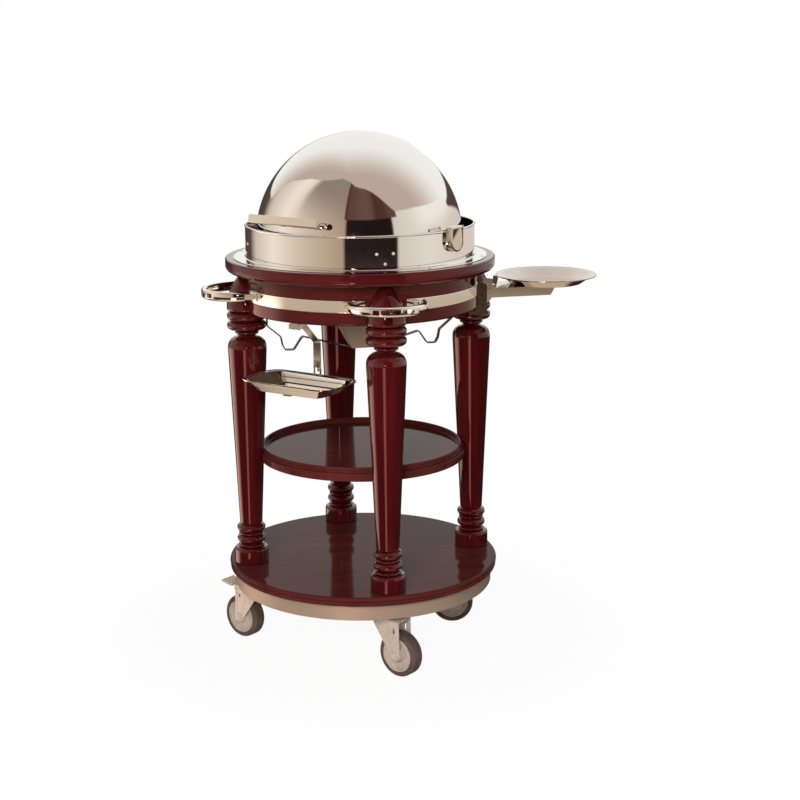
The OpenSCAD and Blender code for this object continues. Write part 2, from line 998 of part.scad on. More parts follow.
module caster_fork(leg, trail, braked) {
    color(zinc)
        caster_at(leg, trail)
            difference() {
                union() {
                    translate([0, 0, fork_top - 3])
                        cylinder(r = 32, h = 3);
                    translate([0, 0, fork_top - 1])
                        cylinder(r = 26, h = 1.5);
                    // crown and two cheeks
                    translate([-fork_half, -caster_trail - 10, fork_top - 3])
                        cube([2 * fork_half, caster_trail + 34, 3]);
                    for (s = [-1, 1])
                        translate([s * (fork_half - 1.25), 0, 0])
                            rotate([90, 0, -90]) {
                                linear_extrude(height = 2.5, center = true)
                                    fork_cheek();
                                // two pressed ribs down the outer face
                                translate([0, 0, -s * 1.6])
                                    linear_extrude(height = 1.4, center = true)
                                        for (y = [[-30, -13], [3, 4]])
                                            translate([caster_trail, 0])
                                                polygon([[y[0], fork_top - 4], [y[0] + 4, fork_top - 4],
                                                         [y[1] + 4, wheel_r + 15], [y[1], wheel_r + 15]]);
                            }
                }
                translate([0, 0, fork_top - 10])
                    cylinder(r = kingpin_r + pin_gap, h = 20, $fn = 48);
                if (braked)
                    translate([0, -brake_y, brake_z])
                        rotate([0, 90, 0])
                            cylinder(r = 3 + pin_gap, h = 100, center = true, $fn = 48);
            }
}

module wheel_at(leg, trail) {
    r = wheel_r - 12;
    color([0.72, 0.67, 0.62])
        caster_at(leg, trail)
            translate([0, -caster_trail, wheel_r])
                rotate([0, 90, 0])
                    rotate_extrude()
                        difference() {
                            union() {
                                translate([axle_r + pin_gap, -tyre_width / 2])
                                    square([r - axle_r - pin_gap, tyre_width]);
                                translate([axle_r + pin_gap, 3.5 - fork_half])
                                    square([9, 2 * fork_half - 7]);
                            }
                            // ring grooves in both faces
                            for (s = [-1, 1])
                                translate([r - 7, s * tyre_width / 2])
                                    circle(r = 2.2, $fn = 24);
                        }
}

module tyre_at(leg, trail) {
    r = wheel_r - 12;
    color([0.3, 0.28, 0.27])
        caster_at(leg, trail)
            translate([0, -caster_trail, wheel_r])
                rotate([0, 90, 0])
                    rotate_extrude() {
                        translate([r + seat_gap, -tyre_width / 2])
                            square([6 - seat_gap, tyre_width]);
                        translate([r + 5, -tyre_width / 2 + 6])
                            square([7, tyre_width - 12]);
                        for (s = [-1, 1])
                            translate([r + 6, s * (tyre_width / 2 - 6)])
                                circle(r = 6, $fn = 48);
                    }
}

module axle_at(leg, trail) {
    color(zinc)
        caster_at(leg, trail)
            translate([0, -caster_trail, wheel_r])
                rotate([0, 90, 0]) {
                    cylinder(r = axle_r, h = 2 * fork_half + 2, center = true, $fn = 48);
                    for (s = [-1, 1])
                        translate([0, 0, s * (fork_half + 2.6)])
                            cylinder(r = 9, h = 5, center = true, $fn = 6);
                }
}

module brake_pedal(leg, trail) {
    color(zinc)
        caster_at(leg, trail)
            translate([0, -brake_y, brake_z]) {
                rotate([0, 90, 0])
                    cylinder(r = 3, h = 2 * fork_half + 4, center = true, $fn = 48);
                rotate([0, 90, 0])
                    cylinder(r = 6, h = 2 * fork_half - 6, center = true, $fn = 48);
                // tread plate with ribs, rising outwards
                rotate([-8, 0, 0]) {
                    translate([-15, -20, -1])
                        cube([30, 18, 3]);
                    translate([-21, -52, -1])
                        cube([42, 36, 3]);
                    for (i = [0 : 3])
                        translate([-19, -49 + 9 * i, 1.5])
                            cube([38, 4, 3]);
                }
            }
}

module caster_plate_front() { caster_plate(0, trail_front); }
module caster_plate_right() { caster_plate(90, trail_right); }
module caster_plate_back() { caster_plate(180, trail_back); }
module caster_plate_left() { caster_plate(270, trail_left); }
module caster_fork_front() { caster_fork(0, trail_front, false); }
module caster_fork_right() { caster_fork(90, trail_right, true); }
module caster_fork_back() { caster_fork(180, trail_back, false); }
module caster_fork_left() { caster_fork(270, trail_left, true); }
module wheel_front() { wheel_at(0, trail_front); }
module wheel_right() { wheel_at(90, trail_right); }
module wheel_back() { wheel_at(180, trail_back); }
module wheel_left() { wheel_at(270, trail_left); }
module tyre_front() { tyre_at(0, trail_front); }
module tyre_right() { tyre_at(90, trail_right); }
module tyre_back() { tyre_at(180, trail_back); }
module tyre_left() { tyre_at(270, trail_left); }
module axle_front() { axle_at(0, trail_front); }
module axle_right() { axle_at(90, trail_right); }
module axle_back() { axle_at(180, trail_back); }
module axle_left() { axle_at(270, trail_left); }
module brake_pedal_right() { brake_pedal(90, trail_right); }
module brake_pedal_left() { brake_pedal(270, trail_left); }

base_band();
base_board();
lower_shelf();
middle_shelf();
leg_front();
leg_right();
leg_back();
leg_left();
worktop();
apron();
apron_band();
handle_front();
handle_back();
handle_left();
dish_flange();
dish_body();
rear_shell();
pivot_cover_right();
pivot_cover_left();
pivot_pins();
body_rivets();
flange_screws();
water_pan();
carving_plate();
carving_board();
burner_strap();
burner_holder();
tray_hanger();
plate_bracket();
lid();
lid_handle();
burner();
tray();
plate_arm();
plate_clip();
round_dish();
caster_plate_front();
caster_plate_right();
caster_plate_back();
caster_plate_left();
caster_fork_front();
caster_fork_right();
caster_fork_back();
caster_fork_left();
wheel_front();
wheel_right();
wheel_back();
wheel_left();
tyre_front();
tyre_right();
tyre_back();
tyre_left();
axle_front();
axle_right();
axle_back();
axle_left();
brake_pedal_right();
brake_pedal_left();
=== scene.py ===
"""Round carving trolley: the finish and the fine shapes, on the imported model's frame.

Sizes are millimetres, as in the CAD source, and become metres when a piece is made.
An azimuth runs from the front leg (-Y) towards the right leg (+X).
"""
from functools import partial
from math import asin, cos, degrees, pi, radians, sin, sqrt

import bmesh
import bpy
from mathutils import Matrix, Vector


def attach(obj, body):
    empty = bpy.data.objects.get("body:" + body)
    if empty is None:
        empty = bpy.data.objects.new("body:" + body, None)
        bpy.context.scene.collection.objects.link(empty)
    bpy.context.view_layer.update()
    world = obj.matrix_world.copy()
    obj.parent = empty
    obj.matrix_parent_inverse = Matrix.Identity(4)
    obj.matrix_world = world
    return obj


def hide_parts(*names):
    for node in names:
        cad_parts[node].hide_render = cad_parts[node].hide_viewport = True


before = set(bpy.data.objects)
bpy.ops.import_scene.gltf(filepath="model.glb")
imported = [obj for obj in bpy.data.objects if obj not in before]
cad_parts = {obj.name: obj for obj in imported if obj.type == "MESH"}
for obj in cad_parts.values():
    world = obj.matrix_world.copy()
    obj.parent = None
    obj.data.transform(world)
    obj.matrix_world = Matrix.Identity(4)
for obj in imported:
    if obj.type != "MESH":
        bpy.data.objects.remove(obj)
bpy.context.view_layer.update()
scene = bpy.context.scene

# ---- sizes ----

MM = 0.001
LEGS = {"front": 0, "right": 90, "back": 180, "left": 270}
LEG_CIRCLE = 266
LEG_HEAD, HEAD_DEPTH, HEAD_CURVE = 45, 82, 110  # the egg's radius and height, and its outline's radius
SHAFT_TOP, SHAFT_LOW, FOOT = 44.5, 26, 39.5
WORKTOP_TOP, WORKTOP_UNDER, WORKTOP_R, OPENING_R = 907, 877, 310, 250
LOWER_TOP, LOWER_R, LOWER_T = 192, 315, 21
MIDDLE_RIM, MIDDLE_R = 464.5, 240.56
APRON_R, APRON_LOW = 270, 788
BAND_LOW, BAND_HIGH = 817, 844
BASE_BAND_R, BASE_BAND_LOW, BASE_BAND_HIGH = 302, 136, 171
SHEET = 1.2
FLANGE_TOP, BODY_R, RIM = 908.5, 263, 982
PIVOT_Z, HEADING, PIN_X, EAR_X = 952, -51, 248, 235.8
LID_R, REAR_R, SKIRT_R, SKIRT_Z = 238, 235, 242, 922
LID_LOW, LID_HIGH, REAR_LOW, REAR_HIGH = 4, 111, 104, 180  # degrees from the open side, round the pivots
HANDLE_Y, HANDLE_HALF, HANDLE_TILT = 268, 100, -12.3
PAN_R, PAN_LOW = 230, 846.5
PLATE_R, PLATE_OPEN, PLATE_T = 232, 150, 1.4
BOARD_R, BOARD_T, GROOVE_R = 212, 18, 194
GRIP_R, GRIP_T, GRIP_Z, GRIP_Y = 87, 13, 833, 281
ARM_TOP, ARM_HALF, ARM_PIN_Y, ARM_PIN_Z, DISH_Y = 822, 50, 263, 770, 449
CHEEK_BACK, CHEEK_FRONT, CHEEK_LOW, CHEEK_TOP = 245, 289, 762, 835
DISH_R, DISH_DEPTH = 119, 20
STRAP_W, STRAP_T = 14, 2.6
HOLDER_Z, HOLDER_TOP = 692, 790
TRAY_Z, TRAY_Y, TRAY_L, TRAY_W, TRAY_D = 634, 249.5, 242, 138, 24
HANGER_Y, HANGER_W, TRAY_AZ = 179, 20, -45
CASTER_CIRCLE, TRAIL = 258, 38
TRAILS = {"front": 38, "right": -105, "back": 160, "left": -142}  # where each wheel trails to, in degrees
BRAKED = ("right", "left")
WHEEL_R, TYRE_W, FORK_TOP, FORK_HALF = 50, 32, 130.4, 22
BRAKE_Y, BRAKE_Z = 46, 119.4
FLOOR_R = 2.4  # metres
CAMERA_AZ, CAMERA_D, CAMERA_H = -11.85, 3.6269, 1.4192  # degrees and metres
PITCH, ROLL, SHIFT = 9.833, -0.62, (0.0494, -0.12)
FOCAL_PX, PHOTO_PX, SENSOR = 1589.6, 800, 36  # focal length and width in pixels, width in mm


# ---- materials ----

def linear(colour):
    """A hex colour such as "6a1c24" as linear RGBA; any other value as it is."""
    if not isinstance(colour, str):
        return colour
    part = [int(colour[i:i + 2], 16) / 255 for i in (0, 2, 4)]
    return [c / 12.92 if c <= 0.04045 else ((c + 0.055) / 1.055) ** 2.4 for c in part] + [1.0]


def feed(tree, socket, value):
    """Links another socket to a socket, or sets its value."""
    if isinstance(value, bpy.types.NodeSocket):
        tree.links.new(value, socket)
    else:
        socket.default_value = linear(value)


def new_node(tree, kind, inputs=(), **values):
    """Makes a shader node; an input is a value or the socket that feeds it."""
    node = tree.nodes.new("ShaderNode" + kind)
    for key, value in values.items():
        setattr(node, key, value)
    for key, value in dict(inputs).items():
        feed(tree, node.inputs[key], value)
    return node


def colour_line(tree, factor, stops):
    """Colours at positions from 0 to 1, blended between them."""
    node = new_node(tree, "ValToRGB", {"Fac": factor})
    line = node.color_ramp
    while len(line.elements) < len(stops):
        line.elements.new(0.5)
    for element, (position, colour) in zip(line.elements, stops):
        element.position, element.color = position, linear(colour)
    return node.outputs["Color"]


class Nodes:
    """A material with short calls for its nodes."""

    def __init__(self, name):
        self.material = bpy.data.materials.new(name)
        self.material.use_nodes = True
        self.tree = self.material.node_tree
        self.shader = self.tree.nodes["Principled BSDF"]
        self.add = partial(new_node, self.tree)

    def set(self, **values):
        for key, value in values.items():
            feed(self.tree, self.shader.inputs[key.replace("_", " ")], value)

    def noise(self, scale, detail, rough, stretch=(1, 1, 1), twist=0.0):
        """Noise over object coordinates, in metres of the row frame."""
        coord = self.add("TexCoord").outputs["Object"]
        place = self.add("Mapping", {"Vector": coord, "Scale": stretch}).outputs["Vector"]
        return self.add("TexNoise", {"Vector": place, "Scale": scale, "Detail": detail,
                                     "Roughness": rough, "Distortion": twist}).outputs["Fac"]

    def ramp(self, factor, *stops):
        return colour_line(self.tree, factor, stops)

    def span(self, factor, low, high):
        return self.add("MapRange", {"Value": factor, "To Min": low, "To Max": high}).outputs["Result"]

    def bump(self, height, strength, distance):
        return self.add("Bump", {"Height": height, "Strength": strength,
                                 "Distance": distance}).outputs["Normal"]


def lacquered_wood(name, stretch, dark, mid, light, contrast=1.0, sheen="e08a80", coat=0.3, level=0.5):
    """Mahogany under a deep lacquer; the grain runs where stretch is small."""
    m = Nodes(name)
    cloud = m.noise(5, 2, 0.5, tuple(0.6 + 0.02 * s for s in stretch))
    grain = m.noise(2.2, 7, 0.62, stretch, 0.5)
    pores = m.noise(9, 4, 0.7, stretch, 0.2)
    mixed = m.add("Math", {0: grain, 1: m.span(cloud, -0.16, 0.16)}, operation="ADD").outputs[0]
    reach = 0.21 / contrast
    colour = m.ramp(mixed, (0.5 - reach, dark), (0.5, mid), (0.5 + reach, light))
    line = m.ramp(pores, (0.36, (0.62, 0.55, 0.55, 1)), (0.47, (1, 1, 1, 1)))
    tint = m.add("Mix", {"Factor": 0.55 * contrast, "A": colour, "B": line}, data_type="RGBA",
                 blend_type="MULTIPLY")
    m.set(Base_Color=tint.outputs["Result"], Roughness=m.span(grain, 0.06, 0.1),
          Specular_Tint=sheen, Specular_IOR_Level=level,
          Normal=m.bump(pores, 0.06 * contrast, 0.0003), Coat_Weight=coat, Coat_Roughness=0.03,
          Coat_Normal=m.bump(m.noise(14, 2, 0.5), 0.12, 0.0006))
    return m.material


def steel(name, colour, rough, wave, streak=(1, 1, 1), streak_depth=0.0, mottle=0.0, metal=1.0):
    """Stainless or plated steel: a little waviness, fine streaks and a slight mottle."""
    m = Nodes(name)
    fine = m.noise(60, 4, 0.6, streak)
    soft = m.noise(7, 2, 0.5)
    tint = [c * (1 - mottle) for c in linear(colour)[:3]] + [1]
    m.set(Base_Color=m.ramp(soft, (0.35, tint), (0.65, colour)), Metallic=metal,
          Roughness=m.span(fine, rough * 0.75, rough * 1.3))
    low = m.bump(soft, wave, 0.002)
    if streak_depth:
        node = m.add("Bump", {"Height": fine, "Strength": streak_depth, "Distance": 0.0003, "Normal": low})
        low = node.outputs["Normal"]
    m.set(Normal=low)
    return m.material


def moulded(name, colour, dark, rough, grain=220, depth=0.15):
    """Plastic or rubber with a fine moulded grain and scuffs."""
    m = Nodes(name)
    fine, scuff = m.noise(grain, 3, 0.6), m.noise(28, 5, 0.65)
    m.set(Base_Color=m.ramp(scuff, (0.36, dark), (0.6, colour)),
          Roughness=m.span(scuff, rough * 1.2, rough * 0.85), Normal=m.bump(fine, depth, 0.0004))
    return m.material


WOOD = ("200506", "410b0f", "571419")
leg_wood = lacquered_wood("mahogany_leg", (20, 20, 1.2), *WOOD, 0.5, coat=0.7)
apron_wood = lacquered_wood("mahogany_apron", (1.5, 1.5, 16), *WOOD, 0.4)
board_mahogany = lacquered_wood("mahogany_board", (1.3, 20, 20), "3c1613", "50221f", "602b27", 0.55,
                                "8a4a3c", 0.0, 0.05)
polished = steel("polished_steel", "f4f1ed", 0.05, 0.015)
bright = steel("bright_steel", "e2dace", 0.13, 0.05)
brushed = steel("brushed_steel", "aa9482", 0.42, 0.05, (0.15, 0.15, 12), 0.25, 0.06, 0.4)
zinc = steel("zinc_plate", "dccfc4", 0.28, 0.1, mottle=0.1, metal=0.45)
arm_steel = steel("arm_steel", "ddd3c8", 0.08, 0.04)
plate_steel = steel("plate_steel", "dad0c8", 0.06, 0.04)
strap_steel = steel("strap_steel", "7d756c", 0.3, 0.05)
# a darker copy of the plate steel for the holder's cheeks: painted shade, standing in for the shade under the
# worktop on their faces
cheek_steel_painted_shade = steel("cheek_steel_painted_shade", "6f625a", 0.12, 0.06)
wheel_plastic = moulded("wheel_plastic", "b8a89b", "a09286", 0.5)
tyre_rubber = moulded("tyre_rubber", "5a4b44", "463a34", 0.75, 320, 0.25)
plywood = lacquered_wood("base_wood", (2, 40, 90), "6d4f33", "8a6743", "a17e56")


def oiled_board():
    """Pale wood, oiled and not lacquered."""
    m = Nodes("carving_board_wood")
    grain = m.noise(2.4, 6, 0.6, (2, 40, 40), 0.4)
    m.set(Base_Color=m.ramp(grain, (0.3, "8f6437"), (0.5, "b98a54"), (0.72, "cfa46c")),
          Roughness=m.span(grain, 0.62, 0.45), Normal=m.bump(grain, 0.2, 0.0005))
    return m.material


board_wood = oiled_board()

# ---- mesh helpers ----

SHARP, TURNED_SHARP = 38, 30  # degrees between faces from which an edge is sharp
ROUND, DISH_ROUND = 192, 224  # steps round a wide turned piece
FROM_Z = {"X": Matrix.Rotation(pi / 2, 4, "Y"), "Y": Matrix.Rotation(pi / 2, 4, "X"), "Z": Matrix.Identity(4)}
YZ_ON_EDGE = Matrix(((0, 0, 1, 0), (1, 0, 0, 0), (0, 1, 0, 0), (0, 0, 0, 1)))


def piece(name, bm, material, body, nodes, place=None, sharp=SHARP, bevel=0, segments=2):
    """Turns a bmesh in millimetres into a piece on its body."""
    if place is not None:
        bm.transform(place)
    bm.transform(Matrix.Scale(MM, 4))
    bmesh.ops.remove_doubles(bm, verts=bm.verts, dist=2e-6)
    bmesh.ops.recalc_face_normals(bm, faces=bm.faces)
    mesh = bpy.data.meshes.new(name)
    bm.to_mesh(mesh)
    bm.free()
    mesh.shade_smooth()
    mesh.set_sharp_from_angle(angle=radians(sharp))
    mesh.materials.append(material)
    obj = bpy.data.objects.new(name, mesh)
    scene.collection.objects.link(obj)
    if bevel:
        edge = obj.modifiers.new("edges", "BEVEL")
        edge.width, edge.segments, edge.limit_method = bevel * MM, segments, "ANGLE"
        edge.angle_limit, edge.harden_normals = radians(SHARP), True
    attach(obj, body)
    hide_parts(*nodes)


def at(azimuth, radius=0, z=0):
    """Places a shape made round the origin, front at -Y, at an azimuth of the trolley."""
    return Matrix.Rotation(radians(azimuth), 4, "Z") @ Matrix.Translation((0, -radius, z))


def rounded(points, steps):
    """Fillets a path of (x, y, radius) corners; a corner with no radius stays sharp."""
    out = []
    for i, p in enumerate(points):
        here, radius = Vector(p[:2]), (p[2] if len(p) > 2 else 0)
        if radius <= 0 or i in (0, len(points) - 1):
            out.append(tuple(here))
            continue
        back, ahead = Vector(points[i - 1][:2]) - here, Vector(points[i + 1][:2]) - here
        half = back.angle(ahead) / 2
        reach = min(radius / max(0.02, abs(sin(half) / cos(half))), 0.49 * back.length, 0.49 * ahead.length)
        a, b = here + back.normalized() * reach, here + ahead.normalized() * reach
        for k in range(steps + 1):
            t = k / steps
            out.append(tuple(a * (1 - t) ** 2 + here * 2 * t * (1 - t) + b * t ** 2))
    return out


def arc(x, y, radius, start=-90, end=90, steps=10):
    """Points of an arc, unless told otherwise those of a turned bead from its lower to its upper side."""
    angles = [radians(start + (end - start) * k / steps) for k in range(steps + 1)]
    return [(x + radius * cos(a), y + radius * sin(a)) for a in angles]


def bridge(bm, a, b, closed=True):
    """Joins two rings of vertices; a ring of one vertex is a point."""
    count = max(len(a), len(b))
    for i in range(count if closed else count - 1):
        j = (i + 1) % count
        corner = [a[i % len(a)], a[j % len(a)], b[j % len(b)], b[i % len(b)]]
        corner = [v for k, v in enumerate(corner) if v not in corner[:k]]
        if len(corner) > 2:
            bm.faces.new(corner)


def hold_edges(profile, loop):
    """Adds a point beside each soft corner of a long straight run, to shade the run flat."""
    out, n = [], len(profile)
    pairs = list(zip(profile, profile[1:] + (profile[:1] if loop else [])))

    def turn_at(i):
        if not loop and (i <= 0 or i >= n - 1):
            return 0
        a, b, c = (Vector(profile[k % n]) for k in (i - 1, i, i + 1))
        if (b - a).length < 1e-6 or (c - b).length < 1e-6:
            return 0
        return degrees((b - a).angle(c - b))

    for i, (a, b) in enumerate(pairs):
        out.append(a)
        run = Vector(b) - Vector(a)
        if run.length > 3:
            step = run.normalized() * 0.5
            if 4 < turn_at(i) < 45:
                out.append(tuple(Vector(a) + step))
            if 4 < turn_at(i + 1) < 45:
                out.append(tuple(Vector(b) - step))
    return out if loop else out + [profile[-1]]


def lathe(profile, steps, loop=False, bm=None, start=0, end=360):
    """Turns a profile of (radius, z) points round Z; part of a turn gets caps if it is a loop."""
    bm = bm or bmesh.new()
    profile = hold_edges(profile, loop)
    whole = end - start >= 360
    count = steps if whole else steps + 1
    angles = [radians(start + (end - start) * i / steps) for i in range(count)]
    rings = [[bm.verts.new((0, 0, z))] if r < 1e-4 else
             [bm.verts.new((r * sin(t), -r * cos(t), z)) for t in angles] for r, z in profile]
    for a, b in zip(rings, rings[1:] + (rings[:1] if loop else [])):
        if len(a) > 1 or len(b) > 1:
            bridge(bm, a, b, whole)
    if loop and not whole:
        bm.faces.new([r[0] for r in rings])
        bm.faces.new([r[-1] for r in reversed(rings)])
    return bm


def turned(name, profile, steps, material, body, node, place=None, loop=False):
    """A turned piece that stands for one CAD node."""
    piece(name, lathe(profile, steps, loop), material, body, [node], place, TURNED_SHARP)


def prism(outline, low, high, bm):
    """Adds a flat outline of (x, y) points between two heights."""
    a = [bm.verts.new((x, y, low)) for x, y in outline]
    b = [bm.verts.new((x, y, high)) for x, y in outline]
    bm.faces.new(a)
    bm.faces.new(b)
    bridge(bm, a, b)


def plate(outline, holes, low, high, bm=None):
    """A plate on edge with holes: outlines of (y, z) points, from x = low to x = high."""
    bm = bm or bmesh.new()
    for x in (low, high):
        rim = []
        for loop in [outline] + holes:
            ring = [bm.verts.new((x, y, z)) for y, z in loop]
            rim += [bm.edges.new((a, b)) for a, b in zip(ring, ring[1:] + ring[:1])]
        bmesh.ops.triangle_fill(bm, use_beauty=True, edges=rim)
    for loop in [outline] + holes:
        bridge(bm, *[[bm.verts.new((x, y, z)) for y, z in loop] for x in (low, high)])
    return bm


def box(x, y, z, centre, bm):
    """Adds a block of size x, y, z round a centre."""
    made = bmesh.ops.create_cube(bm, size=1)["verts"]
    bmesh.ops.scale(bm, vec=(x, y, z), verts=made)
    bmesh.ops.translate(bm, vec=centre, verts=made)


def fold_in(bm, other):
    """Adds another bmesh to a bmesh and frees it."""
    mesh = bpy.data.meshes.new("part")
    other.to_mesh(mesh)
    other.free()
    bm.from_mesh(mesh)
    bpy.data.meshes.remove(mesh)


def put(bm, matrix, draw):
    """Draws a part into a bmesh and moves that part alone."""
    before = set(bm.verts)
    draw(bm)
    bmesh.ops.transform(bm, matrix=matrix, verts=[v for v in bm.verts if v not in before])
    return bm


def rod(radius, length, centre=(0, 0, 0), axis="X", bm=None, sides=32, edge=0.6):
    """A round bar with softened ends, its middle at a centre."""
    half, edge = length / 2, min(edge, radius / 2)
    profile = [(0, -half), (radius - edge, -half), (radius, -half + edge), (radius, half - edge),
               (radius - edge, half), (0, half)]
    return put(bm or bmesh.new(), Matrix.Translation(centre) @ FROM_Z[axis],
               lambda made: lathe(profile, sides, bm=made))


def side_plate(bm, outline, half, x=0):
    """Adds a plate on edge from an outline of (y, z) points, half its thickness to each side of x."""
    put(bm, Matrix.Translation((x, 0, 0)) @ YZ_ON_EDGE, lambda made: prism(outline, -half, half, made))


def strip(path, width, thick, bend, bm=None):
    """Flat bar of a width bent through a path of (y, z) points, with rounded bends."""
    line = [Vector(p) for p in rounded([(y, z, bend) for y, z in path], 7)]
    clean = [line[0]] + [b for a, b in zip(line, line[1:]) if (b - a).length > 0.05]
    offset = []
    for i, p in enumerate(clean):
        d = (clean[min(i + 1, len(clean) - 1)] - clean[max(i - 1, 0)]).normalized()
        offset.append(Vector((-d.y, d.x)) * thick / 2)
    bm = bm or bmesh.new()
    rings = [[bm.verts.new((x, (p + s * n).x, (p + s * n).y))
              for x, s in ((-width / 2, -1), (width / 2, -1), (width / 2, 1), (-width / 2, 1))]
             for p, n in zip(clean, offset)]
    for a, b in zip(rings, rings[1:]):
        bridge(bm, a, b)
    bm.faces.new(rings[0])
    bm.faces.new(rings[-1])
    return bm


def round_rect(x, y, r, steps=8):
    """Outline of a rectangle with rounded corners."""
    out = []
    for cx, cy, start in ((x / 2 - r, y / 2 - r, 0), (r - x / 2, y / 2 - r, 90),
                          (r - x / 2, r - y / 2, 180), (x / 2 - r, r - y / 2, 270)):
        out += arc(cx, cy, r, start, start + 90, steps)
    return out


def loft(rings):
    """Joins outlines given as lists of (x, y, z) points, closed at both ends."""
    bm = bmesh.new()
    made = [[bm.verts.new(p) for p in ring] for ring in rings]
    for a, b in zip(made, made[1:]):
        bridge(bm, a, b)
    bm.faces.new(made[0])
    bm.faces.new(made[-1])
    return bm


# ---- turned legs ----

def head_radius(depth):
    """Radius of the egg-shaped head at a depth below the worktop."""
    return LEG_HEAD - HEAD_CURVE + sqrt(HEAD_CURVE ** 2 - (HEAD_DEPTH - depth) ** 2)


def leg_profile():
    """Outline of a leg: the foot's turnings go up from the shelf, the upper ones down from the worktop."""
    z0, top, shoulder, thin = LOWER_TOP, WORKTOP_UNDER, WORKTOP_UNDER - 173, SHAFT_LOW
    line = [(0, z0), (FOOT - 2, z0), (FOOT - 1, z0 + 2)]
    line += rounded([(FOOT, z0 + 3), (FOOT, z0 + 18), (FOOT, z0 + 39, 13), (thin - 4, z0 + 39)], 10)
    line += arc(thin + 1, z0 + 42.5, 3.2)
    line += [(thin - 3, z0 + 48)] + arc(thin - 2, z0 + 58, 9)
    line += [(thin - 2.5, z0 + 67.2)] + arc(thin, z0 + 71, 3.2)
    line += [(thin - 2.5, z0 + 74.8)] + arc(thin - 2, z0 + 84, 9)
    start = z0 + 97
    line += [(thin - 1.5, start - 3.4), (thin, start)]
    line += [(thin + (SHAFT_TOP - thin) * t / 12, start + (shoulder - start) * t / 12) for t in range(1, 12)]
    line += arc(SHAFT_TOP - 26, shoulder, 26, 0, 84, 14)
    line += [(19, shoulder + 28)] + arc(23, top - 138, 4)
    line += [(24, top - 132.5)] + arc(LEG_HEAD - 10, top - 121.5, 10, steps=14)
    line += [(LEG_HEAD - 11, top - 110.5)] + arc(LEG_HEAD - 10, top - 99.5, 10, steps=14)
    line += [(LEG_HEAD - 8, top - 88.5), (LEG_HEAD - 3, top - 87), (LEG_HEAD - 0.6, top - 85)]
    line += [(head_radius(depth), top - depth) for depth in (HEAD_DEPTH * k / 12 for k in range(12, -1, -1))]
    return line + [(0, top)]


for where, azimuth in LEGS.items():
    turned(f"turned_leg_{where}", leg_profile(), 72, leg_wood, "trolley", f"leg_{where}",
           at(azimuth, LEG_CIRCLE))

# ---- shelves, worktop and apron ----

r, z, low = LOWER_R, LOWER_TOP, LOWER_TOP - LOWER_T
edge = arc(r - 6.5, low + 5.5, 5.5, -90, 60) + [(r - 4.6, low + 11)] + arc(r - 5.5, low + 15.5, 5.5, -50, 90)
turned("lower_shelf_board", [(0, low), (r - 10, low)] + edge + [(r - 12, z), (r - 60, z), (150, z), (0, z)],
       ROUND, board_mahogany, "trolley", "lower_shelf")

r, z = MIDDLE_R, MIDDLE_RIM - 31
edge = [(r - 3, z)] + arc(r - 2.5, z + 2.5, 2.5, -90, 0, 5) + [(r, z + 15)]
edge += arc(r - 3, z + 15.5, 3, 0, 90, 6) + [(r - 4.6, z + 18.6)]
edge += arc(r - 6.5, z + 21, 2.6, -60, 90, 8) + [(r - 7.4, z + 24.4)]
edge += arc(r - 9.5, z + 27, 4, -40, 180, 14) + [(r - 14, z + 24), (r - 14.3, z + 20.6), (r - 16, z + 19.2)]
bed = z + 19
turned("middle_shelf_board", [(0, z)] + edge + [(r - 18, bed), (r - 80, bed), (0, bed)], ROUND,
       board_mahogany, "trolley", "middle_shelf")

r, z = WORKTOP_R, WORKTOP_UNDER
edge = [(r - 12, z)] + arc(r - 12, z + 12, 12, -90, -12) + [(r - 0.4, z + 11)]
edge += arc(r - 1.2, z + 13.2, 1.2, -60, 0, 3) + [(r, z + 24)] + arc(r - 4.5, z + 25.5, 4.5, 0, 90, 8)
turned("worktop_ring", [(OPENING_R, z)] + edge + [(r - 16, z + 30), (OPENING_R, z + 30)], ROUND,
       apron_wood, "trolley", "worktop", loop=True)

r, z = APRON_R, APRON_LOW
profile = [(r - 22, z), (r - 4, z)] + arc(r - 4, z + 4, 4, -90, 0, 6) + [
    (r, z + 28.6), (r - 0.8, z + 29), (r - 0.8, z + 56.2), (r, z + 56.6), (r, z + 84), (r - 1.5, z + 86),
    (r - 1.5, z + 89), (r - 22, z + 89)]
turned("apron_ring", profile, ROUND, apron_wood, "trolley", "apron", loop=True)

# polished band between the legs, in four runs
r, bm = APRON_R, bmesh.new()
band = rounded([(r - 0.5, BAND_LOW), (r + 1.2, BAND_LOW, 0.8), (r + 1.2, BAND_HIGH, 0.8),
                (r - 0.5, BAND_HIGH)], 3)
gap = degrees(asin((LEG_HEAD + 1) / (r + 1)))
for azimuth in LEGS.values():
    lathe(band, 40, True, bm, azimuth + gap, azimuth + 90 - gap)
piece("polished_band", bm, polished, "trolley", ["apron_band"])

r, low, high = BASE_BAND_R, BASE_BAND_LOW, BASE_BAND_HIGH
profile = [(r - 1.5, low), (r - 0.4, low), (r, low + 0.5), (r, high - 0.6), (r - 0.5, high), (r - 1.5, high),
           (r - 1.5, low + 1.5), (r - 5, low + 1.5), (r - 5, low)]
turned("base_ring", profile, ROUND, brushed, "trolley", "base_band", loop=True)

# ---- handles: a slotted half ring on two arms ----


